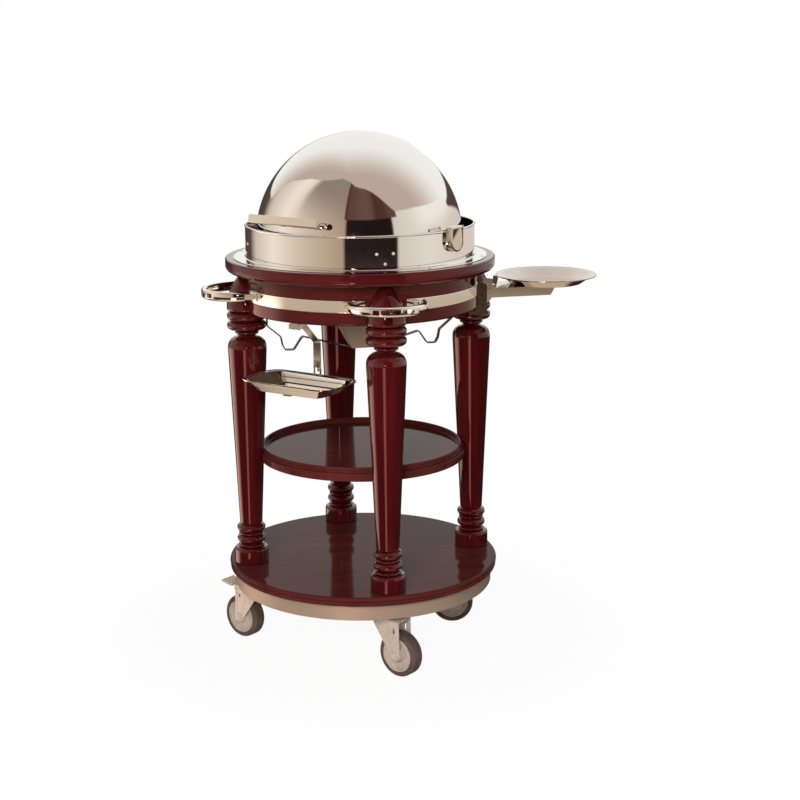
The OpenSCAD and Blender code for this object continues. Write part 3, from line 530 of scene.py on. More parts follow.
def slotted_grip(bm):
    """Half ring with an oval section and openings through its wall."""
    slots, pitch, width, half, round_off = 5, 15.5, 18, 5, GRIP_T / 2
    outer, inner = GRIP_R, GRIP_R - GRIP_T
    middle = outer - round_off
    top = arc(middle, 4.5, round_off, 0, 180, 9)[1:-1]
    section = [(outer, -half), (outer, half)] + top + [(inner, half), (inner, -half)] + [
        (x, -y) for x, y in reversed(top)]
    k = len(top)
    open_half = degrees(width / 2 / middle)
    edges = [(i - (slots - 1) / 2) * pitch + s * open_half for i in range(slots) for s in (-1, 1)]
    even = [-90 + 4.5 * i for i in range(41)]
    angles = sorted(set([a for a in even if all(abs(a - e) > 1.5 for e in edges)] + edges))
    rows = [[bm.verts.new((x * sin(radians(a)), -x * cos(radians(a)), y)) for x, y in section]
            for a in angles]

    def is_open(a, b):
        return any(edges[2 * i] - 0.01 <= a and b <= edges[2 * i + 1] + 0.01 for i in range(slots))

    n = len(section)
    for m, (a, b) in enumerate(zip(rows, rows[1:])):
        gone = is_open(angles[m], angles[m + 1])
        for i in range(n):
            j = (i + 1) % n
            if gone and (i, j) in ((0, 1), (2 + k, 3 + k)):
                continue
            bm.faces.new([a[i], a[j], b[j], b[i]])
        if gone:
            bm.faces.new([a[1], a[2 + k], b[2 + k], b[1]])
            bm.faces.new([a[0], a[3 + k], b[3 + k], b[0]])
    for e in edges:
        row = rows[angles.index(e)]
        bm.faces.new([row[m] for m in (0, 1, 2 + k, 3 + k)])
    bm.faces.new(rows[0])
    bm.faces.new(rows[-1])


def handle(where, azimuth):
    """Grip on two arms, each with a foot on the polished band."""
    bm = bmesh.new()
    slotted_grip(bm)
    bm.transform(Matrix.Translation((0, -GRIP_Y, 0)))
    wall = APRON_R + 1.4
    for s in (-1, 1):
        x = s * (GRIP_R - GRIP_T / 2)
        reach = sqrt(wall ** 2 - x ** 2)
        box(9, GRIP_Y - reach + 2, 13, (x, -(GRIP_Y + reach) / 2 + 1, 0), bm)
        # foot plate that lies on the band, with its two screws
        foot = s * 17
        for bolt in (-8, 8):
            a = radians(foot) + bolt / wall
            rod(2.6, 3, (wall * sin(a), -wall * cos(a) - 2.6, 0), "Y", bm, 16)
        lathe([(wall, -9), (wall + 2.6, -9), (wall + 2.6, 9), (wall, 9)], 10, True, bm, foot - 3.4,
              foot + 3.4)
    piece(f"grip_{where}", bm, polished, "trolley", [f"handle_{where}"],
          at(azimuth, 0, GRIP_Z), bevel=1.1)


for where in ("front", "back", "left"):
    handle(where, LEGS[where])

# ---- roll-top dish ----

r, top = BODY_R, FLANGE_TOP
profile = [(r - 30, WORKTOP_TOP), (r + 26, WORKTOP_TOP), (r + 28, top - 0.9), (r + 28, top - 0.4),
           (r + 26.5, top), (r - 30, top)]
turned("dish_foot", profile, DISH_ROUND, polished, "trolley", "dish_flange", loop=True)
wall = [(r + 2.5, top), (r + 0.8, top + 0.7), (r, top + 2.5), (r, RIM - 4.6)]
wall += arc(r - 1.2, RIM - 2.2, 2.4, -60, 200, 14) + [(r - 1.5, RIM - 5), (r - 1.5, top)]
turned("dish_wall", wall, DISH_ROUND, polished, "trolley", "dish_body", loop=True)


def shell(radius, low, high):
    """Part of a sphere between two angles above the opening side, its poles on the pivots."""
    bm = bmesh.new()
    across, around = 96, max(8, int((high - low) / 1.6))

    def point(rad, u, v):
        return bm.verts.new((rad * cos(u), -rad * sin(u) * cos(v), rad * sin(u) * sin(v)))

    us = [radians(1.5 + 177 * i / across) for i in range(across + 1)]
    vs = [radians(low + (high - low) * j / around) for j in range(around + 1)]
    skins = [[[point(rad, u, v) for u in us] for v in vs] for rad in (radius, radius - SHEET)]
    for rows in skins:
        for a, b in zip(rows, rows[1:]):
            bridge(bm, a, b, False)
    for a, b in ((skins[0][0], skins[1][0]), (skins[0][-1], skins[1][-1]),
                 ([r[0] for r in skins[0]], [r[0] for r in skins[1]]),
                 ([r[-1] for r in skins[0]], [r[-1] for r in skins[1]])):
        bridge(bm, a, b, False)
    return bm


dome_place = at(HEADING, 0, PIVOT_Z)
bm = shell(LID_R, LID_LOW, LID_HIGH)
for s in (-1, 1):
    rod(16, 1.8, (s * (EAR_X + 0.8), 0, 0), "X", bm, 48, 0.5)
piece("lid_shell", bm, polished, "lid", ["lid"], dome_place, sharp=TURNED_SHARP)
# the fixed rear half has a skirt that steps out to the flange
bm = shell(REAR_R, REAR_LOW, REAR_HIGH)
r, foot, step, low = REAR_R, SKIRT_R, SKIRT_Z - PIVOT_Z, FLANGE_TOP - PIVOT_Z
lathe(rounded([(r, 0), (r, step + SHEET, 2), (foot, step + SHEET, 2), (foot, low), (foot - SHEET, low),
               (foot - SHEET, step), (r - SHEET, step), (r - SHEET, 0)], 4), 96, True, bm, 90, 270)
piece("rear_dome", bm, polished, "trolley", ["rear_shell"], dome_place, sharp=TURNED_SHARP)

# pins with rounded rivet heads
bm = bmesh.new()
for s in (-1, 1):
    rod(4, 30, (s * PIN_X, 0, 0), "X", bm)
    rod(6.5, 20, (s * (PIN_X + 3), 0, 0), "X", bm, edge=1)
    rod(7, 2.4, (s * (PIN_X - 14), 0, 0), "X", bm, edge=1)
piece("pivot_rivets", bm, zinc, "trolley", ["pivot_pins"], dome_place)


def pivot_cover(side):
    """U-shaped cover: a pressed face over the pivot, its sides running back to the dish wall."""
    def outline(w, top):
        return arc(0, 6, w, 180, 360, 18) + rounded([(w, 6), (w, top, 5), (-w, top, 5), (-w, 6)], 6)[1:-1]

    bm = loft([[(side * (BODY_R + out), side * x, z) for x, z in outline(w, w + 15)] for out, w in (
        (-14, 24), (11, 24), (13.2, 23.2), (14, 21.4), (14, 19.4), (13, 18.4))])
    # its back follows the dish wall
    for v in bm.verts:
        if abs(v.co.x) < BODY_R - 10:
            v.co.x = side * sqrt(max(1, (BODY_R + 0.4) ** 2 - v.co.y ** 2))
    return bm


for where, side in (("right", 1), ("left", -1)):
    piece(f"pivot_case_{where}", pivot_cover(side), bright, "trolley", [f"pivot_cover_{where}"],
          dome_place, sharp=40)


def lid_handle():
    """Flat bar with rounded edges and ends, on two posts."""
    bar = round_rect(9, 20, 3.6, 6)
    ends = [(HANDLE_HALF - 2.5, 1), (HANDLE_HALF - 1, 0.97), (HANDLE_HALF, 0.86)]
    bm = loft([[(x, y * k, z * k) for y, z in bar] for x, k in [(-x, k) for x, k in reversed(ends)] + ends])
    for s in (-1, 1):
        post = s * (HANDLE_HALF - 7)
        rod(5, 30, (post, 14.6, 0), "Y", bm)
        rod(8, 3, (post, 6, 0), "Y", bm, edge=1)
        rod(8.5, 2.6, (post, 28.6, 0), "Y", bm, edge=0.8)
        # small tab under the bar
        box(22, 10, 2, (s * 60, 6, -9.2), bm)
    return bm


piece("lid_grip", lid_handle(), bright, "lid", ["lid_handle"],
      dome_place @ Matrix.Rotation(radians(HANDLE_TILT), 4, "X") @ Matrix.Translation((0, -HANDLE_Y, 0)),
      bevel=0.4)


def button(bm, radius, height, place):
    """Domed head of a rivet or screw, along -Y."""
    dome = [(radius * cos(radians(a)), height * sin(radians(a))) for a in range(0, 90, 15)] + [(0, height)]
    put(bm, place @ FROM_Z["Y"], lambda made: lathe(dome, 20, bm=made))


bm = bmesh.new()
for azimuth in LEGS.values():
    for aside, height in ((-4, 36), (4, 36), (0, 14)):
        button(bm, 3.6, 1.9, at(azimuth + aside, BODY_R - 0.1, WORKTOP_TOP + height))
piece("wall_rivets", bm, zinc, "trolley", ["body_rivets"])
bm = bmesh.new()
for i in range(8):
    button(bm, 3.2, 1.3, at(20 + 45 * i, BODY_R + 21, FLANGE_TOP) @ Matrix.Rotation(-pi / 2, 4, "X"))
piece("flange_screw_heads", bm, bright, "trolley", ["flange_screws"])

# ---- inside the dish ----

r, z, low = PAN_R, FLANGE_TOP, PAN_LOW
pan = rounded([(0, low), (r, low, 9), (r, z, 1.5), (r + 9.5, z), (r + 9.5, z + SHEET),
               (r - SHEET, z + SHEET, 1), (r - SHEET, low + SHEET, 8), (0, low + SHEET)], 6)
turned("pan", pan, 128, brushed, "trolley", "water_pan")
r, z, t = PLATE_R, FLANGE_TOP + SHEET, PLATE_T
plate_ring = [(PLATE_OPEN, z), (r - 0.5, z), (r, z + t / 2), (r - 0.5, z + t), (PLATE_OPEN, z + t)]
turned("ring_plate", plate_ring, 128, polished, "board", "carving_plate", loop=True)
z += PLATE_T
top = z + BOARD_T
groove = arc(GROOVE_R, top, 5, 0, -180, 12)
board = rounded([(0, z), (BOARD_R, z, 2), (BOARD_R, top, 2.5), (GROOVE_R + 5.5, top)], 4)
turned("board_disc", board + groove + [(GROOVE_R - 6, top), (0, top)], 144, board_wood, "board",
       "carving_board")

# ---- burner under the dish ----

# half of the strap as distances from the middle and heights
half = [(219.6, 786), (219.6, 750), (188, 723), (184.5, 704), (178, 692), (158, 692), (138, 722), (28, 691)]
path = [(-y, z) for y, z in half] + list(reversed(half))
piece("burner_bar", strip(path, STRAP_W, STRAP_T, 7), strap_steel, "trolley", ["burner_strap"],
      at(90), bevel=0.4)


def holder():
    """Tapered open box of four sides, each with a frame round a recessed panel."""
    bm = bmesh.new()
    h, t, frame_w, recess = HOLDER_TOP - HOLDER_Z, 1.5, 7, 0.8
    low, wide, deep = 50, 150, 130

    def ring(inset, z):
        x, y = low + (wide - low) * z / h - 2 * inset, low + (deep - low) * z / h - 2 * inset
        return [Vector((sx * x / 2, sy * y / 2, z)) for sx, sy in ((-1, -1), (1, -1), (1, 1), (-1, 1))]

    bottom, top = ring(0, 0), ring(0, h)
    for i in range(4):
        j = (i + 1) % 4
        corners = [bottom[i], bottom[j], top[j], top[i]]
        foot = bottom[i] + bottom[j]
        along = (bottom[j] - bottom[i]).normalized()
        up = (top[i] + top[j] - foot).normalized()
        inward = up.cross(along).normalized()
        if inward.dot(foot) > 0:
            inward = -inward
        side, head = along * frame_w, along * (frame_w + 4)
        lift = up * frame_w
        inner = [corners[0] + side + lift, corners[1] - side + lift, corners[2] - head - lift,
                 corners[3] + head - lift]
        panel = [p + inward * recess + (q - p) * 0.01 for p, q in zip(inner, inner[2:] + inner[:2])]
        made = [[bm.verts.new(p) for p in points] for points in (corners, inner, panel)]
        bridge(bm, made[0], made[1])
        bridge(bm, made[1], made[2])
        bm.faces.new(made[2])
    inside = [[bm.verts.new(p) for p in ring(t, z)] for z in (t, h)]
    bridge(bm, *inside)
    bm.faces.new(inside[0])
    bm.faces.new([bm.verts.new(p) for p in bottom])
    bridge(bm, [bm.verts.new(p) for p in top], inside[1])
    return bm


piece("burner_box", holder(), brushed, "trolley", ["burner_holder"], at(0, 0, HOLDER_Z),
      bevel=0.4)

z = HOLDER_Z + 34.9
piece("burner_can", lathe(rounded([(0, z), (36, z, 3), (40, z + 6, 3), (40, z + 36, 3), (35, z + 40, 2),
                                   (22, z + 40), (20, z + 41, 1), (20, z + 47, 1), (17, z + 47), (17, z + 39),
                                   (0, z + 39)], 4), 64), zinc, "burner", ["burner"])

# ---- hanging tray ----

y, z = -HANGER_Y, TRAY_Z
bm = strip([(-262, APRON_LOW - 1), (-240, APRON_LOW - 1), (y, 731), (y, 700)], HANGER_W, 2, 4)
strip([(y, z + 6), (y, z - 1), (-TRAY_Y - 50, z - 1)], HANGER_W, 2, 4, bm)
# upright with a window, and the tongue bent out of it
upright = plate([(HANGER_W / 2, z + 6), (HANGER_W / 2, 700), (-HANGER_W / 2, 700), (-HANGER_W / 2, z + 6)],
                [[(a, b + z + 29) for a, b in round_rect(12, 22, 2, 3)]], -1, 1)
upright.transform(Matrix.Translation((0, y, 0)) @ Matrix.Rotation(pi / 2, 4, "Z"))
fold_in(bm, upright)
strip([(y, z + 41), (y + 5, z + 39), (y + 8, z + 34), (y + 8, z + 29)], 11, 1.6, 4, bm)
box(26, 20, 11, (0, -258, APRON_LOW - 7.5), bm)
for s in (-1, 1):
    rod(3, 3, (s * 8, -258, APRON_LOW - 14), "Z", bm, 16)
piece("tray_bracket", bm, bright, "trolley", ["tray_hanger"], at(TRAY_AZ), bevel=0.4)


def tray():
    """Pressed tray: flat floor, stepped flared sides and a wide rim with a raised edge."""
    low_x, low_y = TRAY_L - 66, TRAY_W - 38
    # outside upwards and inside downwards: what each ring adds to the floor's or the rim's size, its
    # corner radius and its height
    up = [(-8, -8, 20, 0), (0, 0, 24, 1.4), (22, 8.5, 28, 11.4), (28, 13.5, 29, 12.4)]
    rim = [(-17, 29, -2.5), (-13, 30, -1.6), (-2, 33, -1.4), (0, 34, -0.4), (0, 34, 1), (-2, 33, 1.6),
           (-4.6, 32, 0.6), (-8, 31, 0), (-15, 28, -0.2), (-19, 27, -2)]
    down = [(26, 11.5, 27, 13.8), (20, 6.5, 26, 12.8), (-1, -1, 22, SHEET + 2), (-8, -8, 20, SHEET + 0.4),
            (-14, -14, 18, SHEET + 0.1), (-20, -20, 16, SHEET + 0.1)]
    rings = [(low_x + x, low_y + y, r, z) for x, y, r, z in up]
    rings += [(TRAY_L + out, TRAY_W + out, r, TRAY_D + z) for out, r, z in rim]
    rings += [(low_x + x, low_y + y, r, z) for x, y, r, z in down]
    return loft([[(a, b, z) for a, b in round_rect(x, y, r)] for x, y, r, z in rings])


piece("tray_pressing", tray(), polished, "tray", ["tray"], at(TRAY_AZ, TRAY_Y, TRAY_Z),
      sharp=25)

# ---- plate holder ----

bm = bmesh.new()
band, low = APRON_R + 1.45, APRON_LOW - 0.3
for s in (-1, 1):
    x = s * (ARM_HALF + 1.9)
    reach = sqrt(band ** 2 - x ** 2)
    cheek = rounded([(-CHEEK_BACK, CHEEK_LOW), (-CHEEK_FRONT, CHEEK_LOW, 2), (-CHEEK_FRONT, CHEEK_TOP, 22),
                     (-reach, CHEEK_TOP)], 12)
    side_plate(bm, cheek + [(-reach, low), (-CHEEK_BACK, low)], 1.5, x)
    # foot on the polished band, with its two screws
    a, foot = degrees(asin((ARM_HALF + 15) / band)) * s, BAND_LOW + 3
    lathe([(band, foot), (band + 3, foot), (band + 3, foot + 20), (band, foot + 20)], 8, True, bm,
          a - 2.9, a + 2.9)
    for bolt in (-1.6, 1.6):
        b = radians(a + bolt)
        rod(2.8, 3, ((band + 3.4) * sin(b), -(band + 3.4) * cos(b), foot + 10), "Y", bm, 16, 1)
    # the pin that the arm turns on, its head, and three small rivets over it
    rod(4, 6, (s * ARM_HALF, -ARM_PIN_Y, ARM_PIN_Z), "X", bm)
    rod(6.5, 3, (s * (ARM_HALF + 4.3), -ARM_PIN_Y, ARM_PIN_Z), "X", bm, edge=1.2)
    for y, height in ((-278, 36), (-278, 54), (-281, 14)):
        rod(3.5, 3, (s * (ARM_HALF + 3.8), y, ARM_PIN_Z + height), "X", bm, 20, 1.2)
# the cheeks take the darker steel, which carries painted shade
piece("folding_cheeks", bm, cheek_steel_painted_shade, "trolley", ["plate_bracket"], at(90), bevel=0.5)

end, low, z, start = DISH_Y + 8, ARM_TOP - 22, ARM_PIN_Z, 315
channel = [(-end, ARM_TOP), (-end + 12, low), (-302, low), (-ARM_PIN_Y - 9, z - 5)]
channel += arc(-ARM_PIN_Y, z, 9, -150, 90, 12) + [(-268.5, z + 9), (-268.5, ARM_TOP)]
bm = bmesh.new()
for s in (-1, 1):
    side_plate(bm, channel, 1, s * (ARM_HALF - 1))
box(2 * ARM_HALF, end - start, 1.5, (0, -(end + start) / 2, ARM_TOP - 0.75), bm)
piece("channel_arm", bm, arm_steel, "plate_arm", ["plate_arm"], at(90), bevel=0.6)

bm, z = bmesh.new(), ARM_TOP
clip = rounded([(-290, z - 20), (-301, z - 20), (-304, z + 22, 3), (-280, z + 26, 3), (-277, z - 20),
                (-290, z - 20)], 5)[:-1]
for s in (-1, 1):
    side_plate(bm, clip, 1, s * (ARM_HALF - 3))
    rod(3.2, 3, (s * (ARM_HALF - 1.2), -289, z + 8), "X", bm, 20, 1)
tab = [(-316, z), (-322, z), (-327.5, z + 20), (-325.5, z + 21), (-320.5, z + 2), (-316, z + 2)]
side_plate(bm, tab, 17)
piece("arm_clips", bm, arm_steel, "plate_arm", ["plate_clip"], at(90), bevel=0.5)

r, d = DISH_R, DISH_DEPTH
dish = rounded([(0, 0), (r - 36, 0, 4), (r - 11, d - 2, 3), (r - 2.5, d - 1.6, 1), (r - 1.4, d - 2.2)], 5)
dish += arc(r - 1.8, d - 0.6, 1.8, -70, 150, 10)
dish += rounded([(r - 4, d - 0.2), (r - 11.5, d - 0.4, 3), (r - 36.5, SHEET, 5), (0, SHEET)], 6)
turned("round_plate", dish, 128, plate_steel, "dish", "round_dish", at(90, DISH_Y, ARM_TOP))

# ---- casters, built at the swivel axis with the wheel trailing towards -Y ----


def caster_place(where):
    """From a caster's own frame to its place under a leg."""
    return at(LEGS[where], CASTER_CIRCLE) @ Matrix.Rotation(radians(TRAILS[where] - LEGS[where]), 4, "Z")


def fork(braked):
    """Swivel race, top and two side plates; a braked one has the pedal's pivot heads."""
    top, low, front = FORK_TOP, WHEEL_R, -TRAIL
    bm = lathe(rounded([(0, top - 3), (31, top - 3, 1), (32, top - 0.6, 1), (27, top + 0.4, 0.6),
                        (0, top + 0.4)], 4), 64)
    box(2 * FORK_HALF, 72, 3, (0, -12, top - 1.5), bm)
    side = [(24, top), (-48, top), (front - 12, low + 1)]
    side += arc(front, low, 12, 180, 315, 9) + [(front + 9, low - 8), (24, top - 14)]
    slot = [(x + front + 3.5, z + top - 24.5) for x, z in round_rect(5, 13, 2, 4)]
    for s in (-1, 1):
        plate(side, [slot], s * FORK_HALF, s * (FORK_HALF - 2.5), bm)
        # two pressed ribs down the outer face
        for high_end, low_end in ((30, 13), (-3, -4)):
            rib = [(front + high_end, top - 4), (front + high_end - 4, top - 4),
                   (front + low_end - 4, low + 15), (front + low_end, low + 15)]
            plate(rib, [], s * (FORK_HALF - 0.3), s * (FORK_HALF + 0.9), bm)
    if braked:
        for s in (-1, 1):
            rod(5, 1.2, (s * (FORK_HALF + 0.5), -BRAKE_Y, BRAKE_Z), "X", bm, 24, 0.4)
    return bm


hub, half = WHEEL_R - 12, TYRE_W / 2
disc = [(6.05, 18.5), (13, 18.5), (14.5, 17.6), (15, 15), (16.5, 13), (19, 12.6), (hub - 10, 13.4),
        (hub - 8.6, 15.2), (hub - 7, 15.9), (hub - 5.2, 15.4), (hub - 4, 13.9), (hub - 2.6, 15.6), (hub, 16)]
disc += [(r, -z) for r, z in reversed(disc)]
tread = [(hub + 0.25, half - 0.6), (hub + 1.2, half)] + arc(hub + 6, half - 6, 6, 90, 0, 9) + [(WHEEL_R, 5)]
tread += [(r, -z) for r, z in reversed(tread)]
for where in LEGS:
    body, place = f"caster_{where}", caster_place(where)
    piece(f"fork_{where}", fork(where in BRAKED), zinc, body, [f"caster_fork_{where}"], place,
          bevel=1.2, segments=3)
    bm = rod(6, 2 * FORK_HALF + 2, (0, -TRAIL, WHEEL_R))
    for s in (-1, 1):
        rod(9, 5, (s * (FORK_HALF + 2.6), -TRAIL, WHEEL_R), "X", bm, 6, 0.7)
        rod(10.5, 1, (s * (FORK_HALF + 0.5), -TRAIL, WHEEL_R), "X", bm, 32, 0.3)
        rod(4.6, 3.4, (s * (FORK_HALF + 6), -TRAIL, WHEEL_R), "X", bm, 24, 0.8)
    piece(f"axle_bolt_{where}", bm, zinc, body, [f"axle_{where}"], place)
    spin = place @ Matrix.Translation((0, -TRAIL, WHEEL_R)) @ Matrix.Rotation(pi / 2, 4, "Y")
    turned(f"wheel_disc_{where}", disc, 72, wheel_plastic, f"wheel_{where}", f"wheel_{where}",
           spin, loop=True)
    piece(f"tyre_ring_{where}", lathe(tread, 96, loop=True), tyre_rubber, f"wheel_{where}",
          [f"tyre_{where}"], spin, sharp=40)

for where in BRAKED:
    bm = bmesh.new()
    rod(3, 2 * FORK_HALF + 4, bm=bm, sides=24)
    rod(6, 2 * FORK_HALF - 6, bm=bm, sides=24)
    made = bmesh.new()
    box(30, 18, 3, (0, -11, 0.5), made)
    prism(rounded([(0, -16), (-21, -16, 3), (-21, -52, 5), (21, -52, 5), (21, -16, 3), (0, -16)], 5)[:-1],
          -1, 2, made)
    for i in range(4):
        box(38, 4, 3, (0, -47 + 9 * i, 3), made)
    made.transform(Matrix.Rotation(radians(-8), 4, "X"))
    fold_in(bm, made)
    piece(f"pedal_{where}", bm, zinc, f"brake_{where}", [f"brake_pedal_{where}"],
          caster_place(where) @ Matrix.Translation((0, -BRAKE_Y, BRAKE_Z)), bevel=0.8)

# ---- CAD nodes that stay ----

for name, material in [("base_board", plywood)] + [(f"caster_plate_{where}", zinc) for where in LEGS]:
    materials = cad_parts[name].data.materials
    materials.clear()
    materials.append(material)

# ---- floor, world and lamps ----

white = (1.0, 1.0, 1.0, 1.0)


def pale_floor():
    """White to the camera, with the soft shadow kept near the wheels."""
    m = Nodes("pale_floor")
    m.set(Base_Color=(0.82, 0.81, 0.8, 1), Roughness=0.9)
    place = m.add("NewGeometry").outputs["Position"]
    away = m.add("VectorMath", {0: place}, operation="LENGTH").outputs["Value"]
    share = m.add("MapRange", {"Value": away, "From Min": 0.4, "From Max": 0.9, "To Min": 0.95,
                               "To Max": 1.0}, interpolation_type="SMOOTHSTEP").outputs["Result"]
    path = m.add("LightPath")
    glow = m.add("Emission", {"Color": white, "Strength": 1.0})
    seen = m.add("Math", {0: path.outputs["Is Camera Ray"], 1: share}, operation="MULTIPLY")
    mix = m.add("MixShader", {0: seen.outputs[0], 1: m.shader.outputs[0], 2: glow.outputs[0]})
    m.tree.links.new(mix.outputs[0], m.tree.nodes["Material Output"].inputs["Surface"])
    return m.material


bm = bmesh.new()
bmesh.ops.create_circle(bm, cap_ends=True, radius=FLOOR_R, segments=96)
mesh = bpy.data.meshes.new("floor")
bm.to_mesh(mesh)
bm.free()
floor = bpy.data.objects.new("floor", mesh)
mesh.materials.append(pale_floor())
floor.visible_glossy = False
scene.collection.objects.link(floor)

# Room that the gloss reflects, in degrees of bearing, 0 towards the viewer's side and positive to the right:
# wall colours, the height in degrees at which the pale ceiling starts, and the wall over the doorway.
WALLS = ((-180, "c9c0b6"), (-165, "4a3c34"), (-140, "5a4a40"), (-126, "d2c6b9"), (-95, "f7ecde"),
         (-60, "d6c6b3"), (-30, "bda892"), (-16.5, "b39c87"), (-14.5, "241819"), (36.5, "201616"),
         (38.5, "dad1c6"), (72, "e8e2d9"), (112, "ded4c9"), (180, "d6ccc2"))
WALL_TOPS = ((-180, 4), (-165, 8), (-134, 12), (-118, 34), (-95, 50), (-60, 62), (-42, 68), (-20, 66),
             (-8, 61), (12, 57.3), (21, 53), (28.5, 47), (34.5, 40), (40, 33), (44, 29), (72, 27), (113, 20),
             (126, 12.5), (142, 11.3), (150, 10), (160, 7), (172, 0), (180, 0))
OVER_DOOR = ((-180, "4a3029"), (-17, "4a3029"), (-13, "5e433b"), (5, "6b4f47"), (12, "6a4d46"),
             (16, "614840"), (20, "4d332d"), (30, "50362f"), (37, "60463e"), (180, "60463e"))
# The floor by height in degrees; the ceiling by how far a direction points away from the viewer, -1 to 1.
FLOOR = ((-90, "d8c4aa"), (-28, "cdb99f"), (-24.5, "2a1d19"), (-12, "2a1d19"), (-11.2, "c4b29c"),
         (0, "c4b29c"))
CEILING = ((-0.25, "c0afa5"), (-0.15, "c7b8ae"), (0, "d4c8c0"), (0.18, "e5dfd8"), (0.36, "f1efea"),
           (0.5, "f7f8f5"))
WALL_FOOT = -9.2
STRIP_GLOW, WINDOW_GLOW = 110, 2


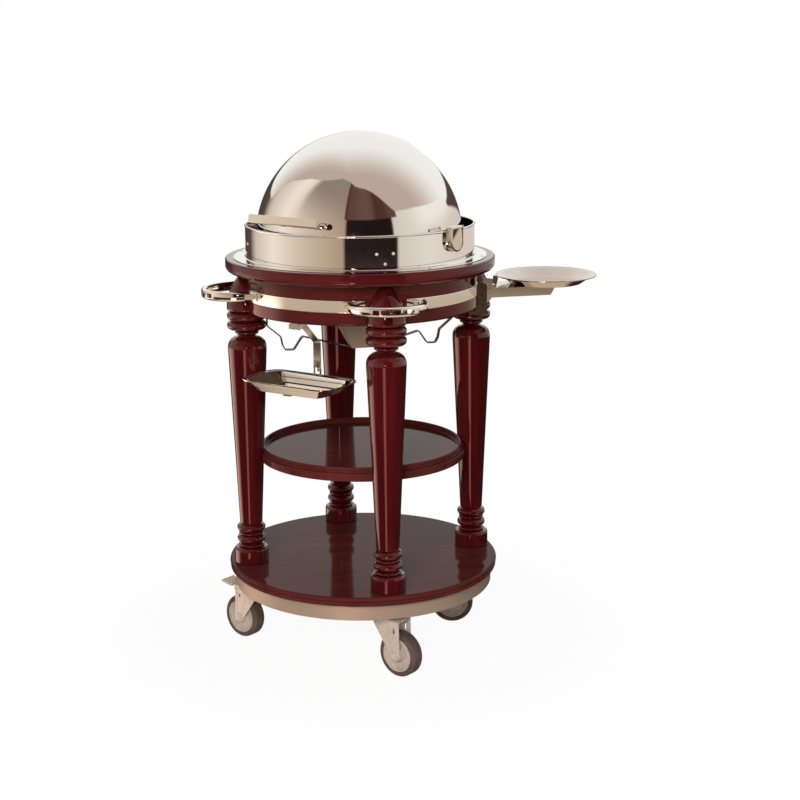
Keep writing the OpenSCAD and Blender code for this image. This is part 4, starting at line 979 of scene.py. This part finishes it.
def studio_world():
    """White to the camera, plain grey light on the object, and a studio room in its reflections."""
    world = bpy.data.worlds.new("studio")
    world.use_nodes = True
    scene.world = world
    tree = world.node_tree
    tree.nodes.clear()
    add = partial(new_node, tree)

    def math(operation, a, b=0.0):
        return add("Math", {0: a, 1: b}, operation=operation).outputs[0]

    def edge(value, middle, soft):
        """0 below an angle and 1 above it, over a soft width."""
        return add("MapRange", {"Value": value, "From Min": middle - soft / 2, "From Max": middle + soft / 2},
                   interpolation_type="SMOOTHSTEP").outputs["Result"]

    def both(a, b):
        return math("MULTIPLY", a, b)

    def between(value, low, high, soft_low, soft_high):
        return both(edge(value, low, soft_low), math("SUBTRACT", 1.0, edge(value, high, soft_high)))

    def paint(under, over, factor):
        return add("Mix", {"Factor": factor, "A": under, "B": over}, data_type="RGBA").outputs["Result"]

    def along(value, stops, whole):
        """Colour by a value, with stops over a whole range that has 0 in its middle."""
        factor = math("ADD", math("DIVIDE", value, whole), 0.5)
        return colour_line(tree, factor, [(stop / whole + 0.5, colour) for stop, colour in stops])

    facing = add("Mapping", {"Vector": add("TexCoord").outputs["Generated"],
                             "Rotation": (0, 0, -radians(CAMERA_AZ))})
    axis = add("SeparateXYZ", {0: facing.outputs["Vector"]}).outputs
    bearing = math("DEGREES", math("ARCTAN2", axis["X"], math("MULTIPLY", axis["Y"], -1.0)))
    rise = math("DEGREES", math("ARCSINE", axis["Z"]))
    tops = [(stop, [height / 90] * 3 + [1]) for stop, height in WALL_TOPS]
    top = math("MULTIPLY", along(bearing, tops, 360), 90.0)
    walls = along(bearing, WALLS, 360)
    # the left wall darkens upwards, the right one gets lighter, and a brown wall is over the dark doorway
    walls = paint(walls, "93857b", both(edge(rise, 30, 50), between(bearing, -78, -15.5, 14, 2)))
    walls = paint(walls, "f8f2eb", both(edge(rise, 9, 14), edge(bearing, 72, 30)))
    walls = paint(walls, along(bearing, OVER_DOOR, 360),
                  both(edge(rise, 23, 2), between(bearing, -17.5, 44, 2, 2)))
    # a dark corner behind on the right
    corner = math("ADD", rise, math("MULTIPLY", math("SUBTRACT", bearing, 130.0), 0.385))
    walls = paint(walls, "57423c", both(edge(bearing, 128, 2), edge(corner, 9, 2)))
    # the floor in front: pale at the foot of the walls and near by, dark between and to the sides
    floor_tone = along(rise, FLOOR, 180)
    aside = both(edge(math("ABSOLUTE", bearing), 66, 26), between(rise, -45, -12, 12, 1.5))
    floor_tone = paint(floor_tone, "3a2822", aside)
    walls = paint(floor_tone, walls, edge(rise, WALL_FOOT, 1))
    # the ceiling gets lighter towards the back, and darker to the left
    depth = math("ADD", axis["Y"], math("MINIMUM", math("ADD", axis["X"], 0.15), 0.0))
    # a narrow bright strip low in front draws the streak down the legs,
    # and a broad soft window low on the left their pale side
    strip_light = both(between(bearing, -21.5, -6.5, 5, 5), between(rise, -27, -12.5, 4, 1))
    window = both(between(bearing, -136, -86, 16, 24), between(rise, -32, -9.5, 8, 1))
    walls = paint(walls, "e6c4b4", window)
    colour = paint(walls, along(depth, CEILING, 2), edge(math("SUBTRACT", rise, top), 0, 1.6))
    strength = math("ADD", math("ADD", 1.0, math("MULTIPLY", strip_light, STRIP_GLOW)),
                    math("MULTIPLY", window, WINDOW_GLOW))
    room_light = add("Background", {"Color": colour, "Strength": strength})
    plain = add("Background", {"Color": (0.95, 0.97, 1.0, 1), "Strength": 0.2})
    seen = add("Background", {"Color": white, "Strength": 1.0})
    path = add("LightPath")
    first = add("MixShader", {0: path.outputs["Is Glossy Ray"], 1: plain.outputs[0],
                              2: room_light.outputs[0]})
    last = add("MixShader", {0: path.outputs["Is Camera Ray"], 1: first.outputs[0], 2: seen.outputs[0]})
    tree.links.new(last.outputs[0], add("OutputWorld").inputs["Surface"])


studio_world()


def softbox(name, azimuth, distance, height, size, power, aim=0.6, mirrored=False):
    """Rectangular lamp at a bearing round the trolley, aimed at a height on its axis."""
    light = bpy.data.lights.new(name, "AREA")
    light.shape = "RECTANGLE"
    light.size, light.size_y = size
    light.energy, light.color = power, (1, 0.98, 0.95)
    obj = bpy.data.objects.new(name, light)
    a = radians(azimuth)
    obj.location = (distance * sin(a), -distance * cos(a), height)
    obj.rotation_euler = (Vector((0, 0, aim)) - obj.location).to_track_quat("-Z", "Y").to_euler()
    obj.visible_camera = False
    obj.visible_glossy = mirrored
    scene.collection.objects.link(obj)


softbox("key", -24, 3.2, 1.9, (1.2, 1.2), 110)
softbox("fill", 30, 3.4, 1.6, (1.0, 1.4), 14)
softbox("low_lamp", CAMERA_AZ - 6, 3.7, 1.16, (0.24, 0.24), 4, 0.8, True)
softbox("rim", 170, 3.0, 2.4, (1.8, 1.2), 12)
scene.view_settings.view_transform = "Standard"

# ---- camera at the photograph's place ----

camera = bpy.data.cameras.new("camera")
camera.sensor_width = SENSOR
camera.lens = FOCAL_PX * SENSOR / PHOTO_PX
camera.shift_x, camera.shift_y = SHIFT
eye = bpy.data.objects.new("camera", camera)
eye.matrix_world = (
    Matrix.Rotation(radians(CAMERA_AZ), 4, "Z") @ Matrix.Translation((0, -CAMERA_D, CAMERA_H))
    @ Matrix.Rotation(radians(90 - PITCH), 4, "X") @ Matrix.Rotation(radians(ROLL), 4, "Z"))
scene.collection.objects.link(eye)
scene.camera = eye

bpy.context.view_layer.update()
